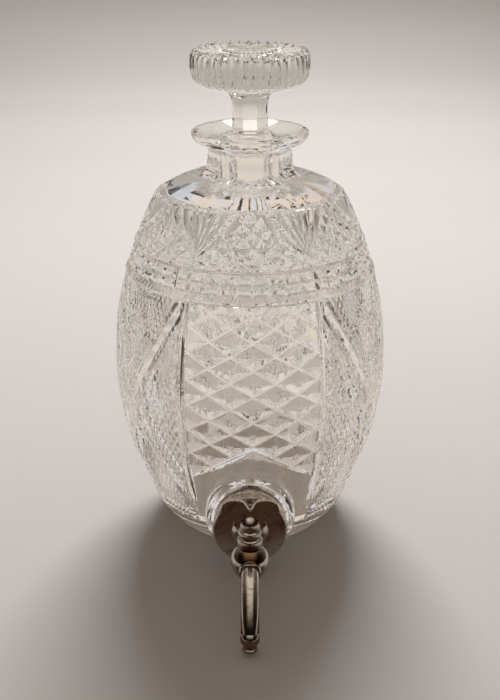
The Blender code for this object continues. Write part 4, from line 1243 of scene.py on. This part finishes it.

# Silver plate on brass: mirror polished by hand for years, so it has fine wipe marks, dull smears
# and a warm, slightly brown reflection, with brown tarnish in spots. The brown patch on top of the
# ball is partly tarnish and partly a painted dark reflection of the room above it.
SMEAR = 90.0
SMEAR_SHARES = (0.35, 0.75)
SMEAR_ROUGHNESS = (0.07, 0.22)
SILVER_TONES = (0xCFC9C0, 0xB9B0A4)
WIPE = 1400.0
WIPE_STRETCH = (1.0, 0.12, 1.0)
TARNISH_AND_REFLECTION_BROWN = 0x7A5638
TARNISH_SPOTS = 260.0
TARNISH_SHARES = (0.50, 0.66)
TARNISH_MOST = 0.65
# Partly tarnish, partly painted reflection: a brown patch on top of the ball.
BALL_TARNISH_AND_REFLECTION_MOST = 0.9
BALL_TARNISH_AND_REFLECTION_PLACE = Vector((0.0, -143.5, 41.0)) * MM
BALL_TARNISH_AND_REFLECTION_RADIUS = 8.5 * MM
silver_plate, tree, shader = new_material("old_silver_plate")
place = add_node(tree, "ShaderNodeTexCoord")
smears = add_node(
    tree, "ShaderNodeTexNoise",
    {"Vector": place.outputs["Object"], "Scale": SMEAR, "Detail": 4.0, "Roughness": 0.6},
)
stretched = add_node(
    tree, "ShaderNodeMapping", {"Vector": place.outputs["Object"], "Scale": WIPE_STRETCH}
)
wipes = add_node(
    tree, "ShaderNodeTexNoise", {"Vector": stretched.outputs[0], "Scale": WIPE, "Detail": 2.0}
)
dulling = add_node(
    tree, "ShaderNodeMapRange",
    {"Value": smears.outputs[0], "From Min": SMEAR_SHARES[0], "From Max": SMEAR_SHARES[1],
     "To Min": SMEAR_ROUGHNESS[0], "To Max": SMEAR_ROUGHNESS[1]},
)
tone = add_node(
    tree, "ShaderNodeMix",
    {0: smears.outputs[0], 6: colour(SILVER_TONES[0]), 7: colour(SILVER_TONES[1])},
    data_type="RGBA",
)
marks = add_node(
    tree, "ShaderNodeBump", {"Height": wipes.outputs[0], "Strength": 0.06, "Distance": 0.0002}
)
# Partly tarnish, partly painted dark reflection: brown on top of the ball.
from_ball = add_node(
    tree, "ShaderNodeVectorMath", {0: place.outputs["Object"], 1: BALL_TARNISH_AND_REFLECTION_PLACE},
    operation="DISTANCE",
)
ball_tarnish_and_reflection = add_node(
    tree, "ShaderNodeMapRange",
    {"Value": from_ball.outputs["Value"], "From Min": BALL_TARNISH_AND_REFLECTION_RADIUS,
     "From Max": BALL_TARNISH_AND_REFLECTION_RADIUS * 0.6, "To Max": BALL_TARNISH_AND_REFLECTION_MOST},
    interpolation_type="SMOOTHSTEP",
)
spots = add_node(
    tree, "ShaderNodeTexNoise",
    {"Vector": place.outputs["Object"], "Scale": TARNISH_SPOTS, "Detail": 4.0, "Roughness": 0.65},
)
tarnish = add_node(
    tree, "ShaderNodeMapRange",
    {"Value": spots.outputs[0], "From Min": TARNISH_SHARES[0], "From Max": TARNISH_SHARES[1],
     "To Max": TARNISH_MOST},
)
tarnish_and_reflection_share = add_node(
    tree, "ShaderNodeMath", {0: tarnish.outputs[0], 1: ball_tarnish_and_reflection.outputs[0]}, operation="MAXIMUM"
)
tarnish_and_reflection_tone = add_node(
    tree, "ShaderNodeMix",
    {0: tarnish_and_reflection_share.outputs[0], 6: tone.outputs[2], 7: colour(TARNISH_AND_REFLECTION_BROWN)}, data_type="RGBA",
)
tree.links.new(tarnish_and_reflection_tone.outputs[2], shader.inputs["Base Color"])
tree.links.new(dulling.outputs[0], shader.inputs["Roughness"])
tree.links.new(marks.outputs[0], shader.inputs["Normal"])
shader.inputs["Metallic"].default_value = 1.0

RIDGES = 160
ridge_tree = bpy.data.node_groups.new("milling", "GeometryNodeTree")
for name, kind in (
    ("Ridges", "NodeSocketInt"), ("Radius", "NodeSocketFloat"), ("Ridge size", "NodeSocketFloat"),
    ("Ridge length", "NodeSocketFloat"), ("Finish", "NodeSocketMaterial"),
):
    ridge_tree.interface.new_socket(name, in_out="INPUT", socket_type=kind)
ridge_tree.interface.new_socket("Geometry", in_out="OUTPUT", socket_type="NodeSocketGeometry")
sizes = add_node(ridge_tree, "NodeGroupInput")
circle = add_node(
    ridge_tree, "GeometryNodeMeshCircle",
    {"Vertices": sizes.outputs["Ridges"], "Radius": sizes.outputs["Radius"]},
)
ridge = add_node(
    ridge_tree, "GeometryNodeMeshCylinder",
    {"Vertices": 3, "Radius": sizes.outputs["Ridge size"], "Depth": sizes.outputs["Ridge length"]},
)
number = add_node(ridge_tree, "GeometryNodeInputIndex")
pitch = add_node(
    ridge_tree, "ShaderNodeMath", {0: 2 * pi, 1: sizes.outputs["Ridges"]}, operation="DIVIDE"
)
turn = add_node(
    ridge_tree, "ShaderNodeMath", {0: number.outputs[0], 1: pitch.outputs[0]}, operation="MULTIPLY"
)
around = add_node(ridge_tree, "ShaderNodeCombineXYZ", {"Z": turn.outputs[0]})
stand = add_node(
    ridge_tree, "GeometryNodeInstanceOnPoints",
    {"Points": circle.outputs[0], "Instance": ridge.outputs["Mesh"], "Rotation": around.outputs[0]},
)
real = add_node(ridge_tree, "GeometryNodeRealizeInstances", {"Geometry": stand.outputs[0]})
plated = add_node(
    ridge_tree, "GeometryNodeSetMaterial",
    {"Geometry": real.outputs[0], "Material": sizes.outputs["Finish"]},
)
add_node(ridge_tree, "NodeGroupOutput", {"Geometry": plated.outputs[0]})

milling = link_object("collar_milling", bpy.data.meshes.new("collar_milling"))
change = milling.modifiers.new("milling", "NODES")
change.node_group = ridge_tree
RIDGE_SIZES = {
    "Ridges": RIDGES, "Radius": 22.55 * MM, "Ridge size": 0.42 * MM, "Ridge length": 9.4 * MM,
    "Finish": silver_plate,
}
for item in ridge_tree.interface.items_tree:
    if item.name in RIDGE_SIZES:
        change[item.identifier] = RIDGE_SIZES[item.name]
evaluated = milling.evaluated_get(bpy.context.evaluated_depsgraph_get())
mesh = bpy.data.meshes.new_from_object(evaluated)
milling.modifiers.clear()
milling.data = mesh
MILLING_MIDDLE = 91.95
for vertex in mesh.vertices:
    x, y, z = vertex.co
    vertex.co = (x, -z - MILLING_MIDDLE * MM, y + TAP_HEIGHT * MM)
collar.data.materials.append(silver_plate)
finish_shading(collar, 30)
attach(collar, "jar")
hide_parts("tap_collar")
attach(milling, "jar")

# Tap body
# One brass casting, turned and plated: a threaded shank through the glass, a trumpet neck and a
# ball that holds the tapered plug. The spout is soldered to the ball's front.
BALL_REACH = 134.5
BALL_RADIUS = 11.8
SHANK_END = 53.24
SHANK_RADIUS = 4.8
SEAT_TOP = 9.6


def arc(centre, radius, start, end, count):
    """Points of a profile on an arc, angles in degrees from +radius."""
    turns = [radians(start + (end - start) * index / count) for index in range(count + 1)]
    return [(centre[0] + radius * cos(turn), centre[1] + radius * sin(turn)) for turn in turns]


body_profile = [(0.0, BALL_REACH + 15.0), (3.4, BALL_REACH + 15.0), (3.4, BALL_REACH + 10.6)]
body_profile += arc((0.0, BALL_REACH), BALL_RADIUS, 64.0, -50.5, 28)
body_profile += [
    (7.3, 124.6), (7.0, 122.0), (6.9, 118.0), (7.0, 114.0), (7.3, 110.0), (7.9, 106.5),
    (8.8, 103.8), (9.8, 102.0), (10.9, 100.8), (11.4, 100.2), (11.5, 99.6), (11.3, 98.9),
    (10.9, 98.7), (SHANK_RADIUS, 98.7), (SHANK_RADIUS, SHANK_END + 0.6),
    (SHANK_RADIUS - 0.6, SHANK_END), (0.0, SHANK_END),
]
tap_body = link_object(
    "tap_body_casting", turned_mesh("tap_body_casting", body_profile, 96, TAP_HEIGHT)
)
WATERWAY = ((0.0, 160.0), (2.4, 160.0), (2.4, 50.0), (0.0, 50.0))
carve(tap_body, turned_mesh("waterway", WATERWAY, 32, TAP_HEIGHT))


def on_key_axis(mesh):
    """Stands a mesh on the upright axis through the middle of the ball."""
    for vertex in mesh.vertices:
        vertex.co.y -= BALL_REACH * MM
        vertex.co.z += TAP_HEIGHT * MM
    return mesh


SEAT_PROFILE = (
    (0.0, 14.0), (13.0, 14.0), (13.0, SEAT_TOP), (5.5, SEAT_TOP), (4.6, -SEAT_TOP), (13.0, -SEAT_TOP),
    (13.0, -14.0), (0.0, -14.0),
)
carve(tap_body, on_key_axis(turned_mesh("seat", SEAT_PROFILE, 64)))
tap_body.data.materials.clear()
tap_body.data.materials.append(silver_plate)
finish_shading(tap_body, 24)
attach(tap_body, "jar")
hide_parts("tap_body")

# Key and thumb-piece
# The tapered plug is turned from one bar: a plain ring, a bead and a domed cap that is slotted for
# the flat heart-shaped thumb-piece, which is soldered in. A washer and nut hold it from below.
key_profile = [(0.0, 30.9)] + arc((0.0, 24.7), 6.2, 84.0, 0.0, 10)
key_profile += [
    (6.2, 22.4), (6.05, 22.0), (5.6, 21.7), (6.0, 21.4), (6.7, 20.9), (7.0, 20.2), (7.0, 18.4),
    (6.7, 17.7), (6.0, 17.3), (5.9, 16.9), (6.6, 16.6), (7.3, 16.0), (7.7, 15.0), (7.7, 12.0),
    (7.5, 11.0), (6.9, 10.2), (6.2, 9.9), (5.2, 9.9), (5.2, 9.6), (4.3, -9.6), (1.6, -9.6),
    (1.6, -14.8), (0.0, -14.8),
]
key = link_object("turned_key", on_key_axis(turned_mesh("turned_key", key_profile, 80)))
HEART_WIDTH = 34.2
HEART_HEIGHT = 19.0
HEART_FOOT = 22.3
HEART_THICKNESS = 3.4
SLOT_THICKNESS = HEART_THICKNESS + 0.3
HEART_SHARES = (
    (0.00, 0.64), (0.06, 0.70), (0.20, 0.90), (0.35, 0.98), (0.50, 1.00), (0.68, 0.99), (0.83, 0.93),
    (0.95, 0.84), (1.00, 0.73), (0.98, 0.64), (0.91, 0.56), (0.76, 0.45), (0.62, 0.36), (0.46, 0.20),
    (0.30, 0.00),
)


def plate_mesh(name, outline, thickness):
    """A flat plate in the XZ plane, of an outline in millimetres."""
    plate = bmesh.new()
    front = [plate.verts.new((x * MM, -thickness * MM / 2, z * MM)) for x, z in outline]
    back = [plate.verts.new((x * MM, thickness * MM / 2, z * MM)) for x, z in outline]
    plate.faces.new(front)
    plate.faces.new(reversed(back))
    for index in range(len(outline)):
        after = (index + 1) % len(outline)
        plate.faces.new((front[index], back[index], back[after], front[after]))
    bmesh.ops.recalc_face_normals(plate, faces=plate.faces)
    mesh = bpy.data.meshes.new(name)
    plate.to_mesh(mesh)
    plate.free()
    return mesh


SLOT_OUTLINE = ((-14.0, HEART_FOOT), (14.0, HEART_FOOT), (14.0, 40.0), (-14.0, 40.0))
carve(key, on_key_axis(plate_mesh("slot", SLOT_OUTLINE, SLOT_THICKNESS)))
key.data.materials.clear()
key.data.materials.append(silver_plate)
finish_shading(key, 24)
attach(key, "key")
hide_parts("tap_key")


def smooth_outline(points, count):
    """Points on a smooth curve through open points, its ends kept."""
    path = []
    for index in range(len(points) - 1):
        p0 = Vector(points[max(index - 1, 0)])
        p1, p2 = Vector(points[index]), Vector(points[index + 1])
        p3 = Vector(points[min(index + 2, len(points) - 1)])
        for step in range(count):
            t = step / count
            path.append(
                0.5 * (2 * p1 + (p2 - p0) * t + (2 * p0 - 5 * p1 + 4 * p2 - p3) * t ** 2
                       + (3 * p1 - p0 - 3 * p2 + p3) * t ** 3)
            )
    path.append(Vector(points[-1]))
    return path


right_side = smooth_outline(
    [(x * HEART_WIDTH / 2, HEART_FOOT + z * HEART_HEIGHT) for x, z in HEART_SHARES], 4
)
heart_outline = right_side + [Vector((-x, z)) for x, z in reversed(right_side[1:])]
heart = link_object(
    "heart_thumb_piece", on_key_axis(plate_mesh("heart_thumb_piece", heart_outline, HEART_THICKNESS))
)
rounding = heart.modifiers.new("rounded_edge", "BEVEL")
rounding.width = 0.9 * MM
rounding.segments = 3
rounding.limit_method = "ANGLE"
rounding.angle_limit = radians(50)
heart.data.materials.append(silver_plate)
finish_shading(heart, 40)
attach(heart, "key")
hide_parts("heart_handle")

# Turned steel: a plain grey metal, satin from the fine marks of the lathe.
STEEL = 0xB2B2B4
TURNING_SCALE = 700.0
plain_steel, tree, shader = new_material("turned_steel")
place = add_node(tree, "ShaderNodeTexCoord")
turning = add_node(
    tree, "ShaderNodeTexNoise", {"Vector": place.outputs["Object"], "Scale": TURNING_SCALE}
)
dull = add_node(
    tree, "ShaderNodeMapRange", {"Value": turning.outputs[0], "To Min": 0.25, "To Max": 0.45}
)
tree.links.new(dull.outputs[0], shader.inputs["Roughness"])
shader.inputs["Base Color"].default_value = colour(STEEL)
shader.inputs["Metallic"].default_value = 1.0
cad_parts["key_washer"].data.materials[0] = plain_steel
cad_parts["key_nut"].data.materials[0] = silver_plate

# Spout
# A drawn brass tube, bent and plated, with a ferrule where it meets the ball. A round knuckle on
# its end turns it straight down, into a short nozzle with a bead round its lip.
TUBE_RADIUS = 5.4
TUBE_START = 145.44
TUBE_LEAD = 4.0
TUBE_BEND_RADIUS = 34.0
TUBE_BEND = radians(66)
TUBE_ROWS = 28
TUBE_STEPS = 64
FERRULE_PROFILE = (
    (5.5, TUBE_START + 4.6), (6.0, TUBE_START + 4.6), (6.5, TUBE_START + 4.1),
    (6.7, TUBE_START + 3.4),
    (6.7, TUBE_START + 2.6), (6.3, TUBE_START + 2.2), (6.3, TUBE_START + 1.8), (6.7, TUBE_START + 1.4),
    (6.6, TUBE_START + 0.7), (6.0, TUBE_START + 0.3), (5.5, TUBE_START + 0.3),
)


def spout_place(angle):
    """Middle of the tube at an angle round its bend, as (reach, height), and its direction."""
    reach = TUBE_START + TUBE_LEAD + TUBE_BEND_RADIUS * sin(angle)
    height = TAP_HEIGHT - TUBE_BEND_RADIUS + TUBE_BEND_RADIUS * cos(angle)
    return reach, height, (cos(angle), -sin(angle))


stations = [(TUBE_START, TAP_HEIGHT, (1.0, 0.0))]
stations += [spout_place(TUBE_BEND * index / TUBE_ROWS) for index in range(TUBE_ROWS + 1)]
tube_rings = [[(0.0, -stations[0][0] * MM, stations[0][1] * MM)]]
for reach, height, (forward, up) in stations:
    ring = []
    for step in range(TUBE_STEPS):
        turn = 2 * pi * step / TUBE_STEPS
        lift = TUBE_RADIUS * cos(turn)
        ring.append((
            TUBE_RADIUS * sin(turn) * MM, -(reach - up * lift) * MM, (height + forward * lift) * MM,
        ))
    tube_rings.append(ring)
tube_rings.append([(0.0, -stations[-1][0] * MM, stations[-1][1] * MM)])
tube = link_object("bent_spout_tube", ring_mesh("bent_spout_tube", tube_rings))
ferrule = link_object(
    "spout_ferrule_ring", turned_mesh("spout_ferrule_ring", FERRULE_PROFILE, 72, TAP_HEIGHT)
)

KNUCKLE_RADIUS = 5.6
KNUCKLE_SET = 0.55
NOZZLE_TIP = 3.0
end_reach, end_height, (end_forward, end_up) = spout_place(TUBE_BEND)
knuckle_reach = end_reach + end_forward * KNUCKLE_RADIUS * KNUCKLE_SET
knuckle_height = end_height + end_up * KNUCKLE_RADIUS * KNUCKLE_SET
nozzle_profile = [(0.0, knuckle_height + KNUCKLE_RADIUS)]
nozzle_profile += arc((0.0, knuckle_height), KNUCKLE_RADIUS, 84.0, -44.0, 16)
nozzle_profile += [
    (4.0, NOZZLE_TIP + 2.6), (4.1, NOZZLE_TIP + 2.0), (4.6, NOZZLE_TIP + 1.6), (4.7, NOZZLE_TIP + 0.9),
    (4.5, NOZZLE_TIP + 0.3), (4.1, NOZZLE_TIP), (2.6, NOZZLE_TIP), (2.4, NOZZLE_TIP + 0.4),
    (2.4, NOZZLE_TIP + 6.0), (0.0, NOZZLE_TIP + 6.0),
]
nozzle_mesh = turned_mesh("spout_nozzle_tip", nozzle_profile, 64)
for vertex in nozzle_mesh.vertices:
    vertex.co.y -= knuckle_reach * MM
nozzle = link_object("spout_nozzle_tip", nozzle_mesh)
for piece, node_name, angle in (
    (tube, "spout_tube", 30), (ferrule, "spout_ferrule", 24), (nozzle, "spout_nozzle", 24)
):
    piece.data.materials.append(silver_plate)
    finish_shading(piece, angle)
    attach(piece, "jar")
    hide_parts(node_name)

# Fixings inside the jar
# A rubber washer, a plated disc and a hexagon nut pull the tap tight against the glass. They are
# the frame's own meshes with new materials, and show faintly through the cut glass.
# Soft rubber: matt and nearly black, a little greyed by bloom.
RUBBER_TONES = (0x262321, 0x3B3734)
BLOOM_SCALE = 500.0
soft_rubber, tree, shader = new_material("soft_black_rubber")
place = add_node(tree, "ShaderNodeTexCoord")
bloom = add_node(
    tree, "ShaderNodeTexNoise", {"Vector": place.outputs["Object"], "Scale": BLOOM_SCALE}
)
greys = add_node(
    tree, "ShaderNodeMix",
    {0: bloom.outputs[0], 6: colour(RUBBER_TONES[0]), 7: colour(RUBBER_TONES[1])},
    data_type="RGBA",
)
tree.links.new(greys.outputs[2], shader.inputs["Base Color"])
shader.inputs["Roughness"].default_value = 0.8
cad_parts["inner_washer"].data.materials[0] = soft_rubber
for node_name in ("inner_plate", "inner_nut"):
    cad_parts[node_name].data.materials[0] = silver_plate
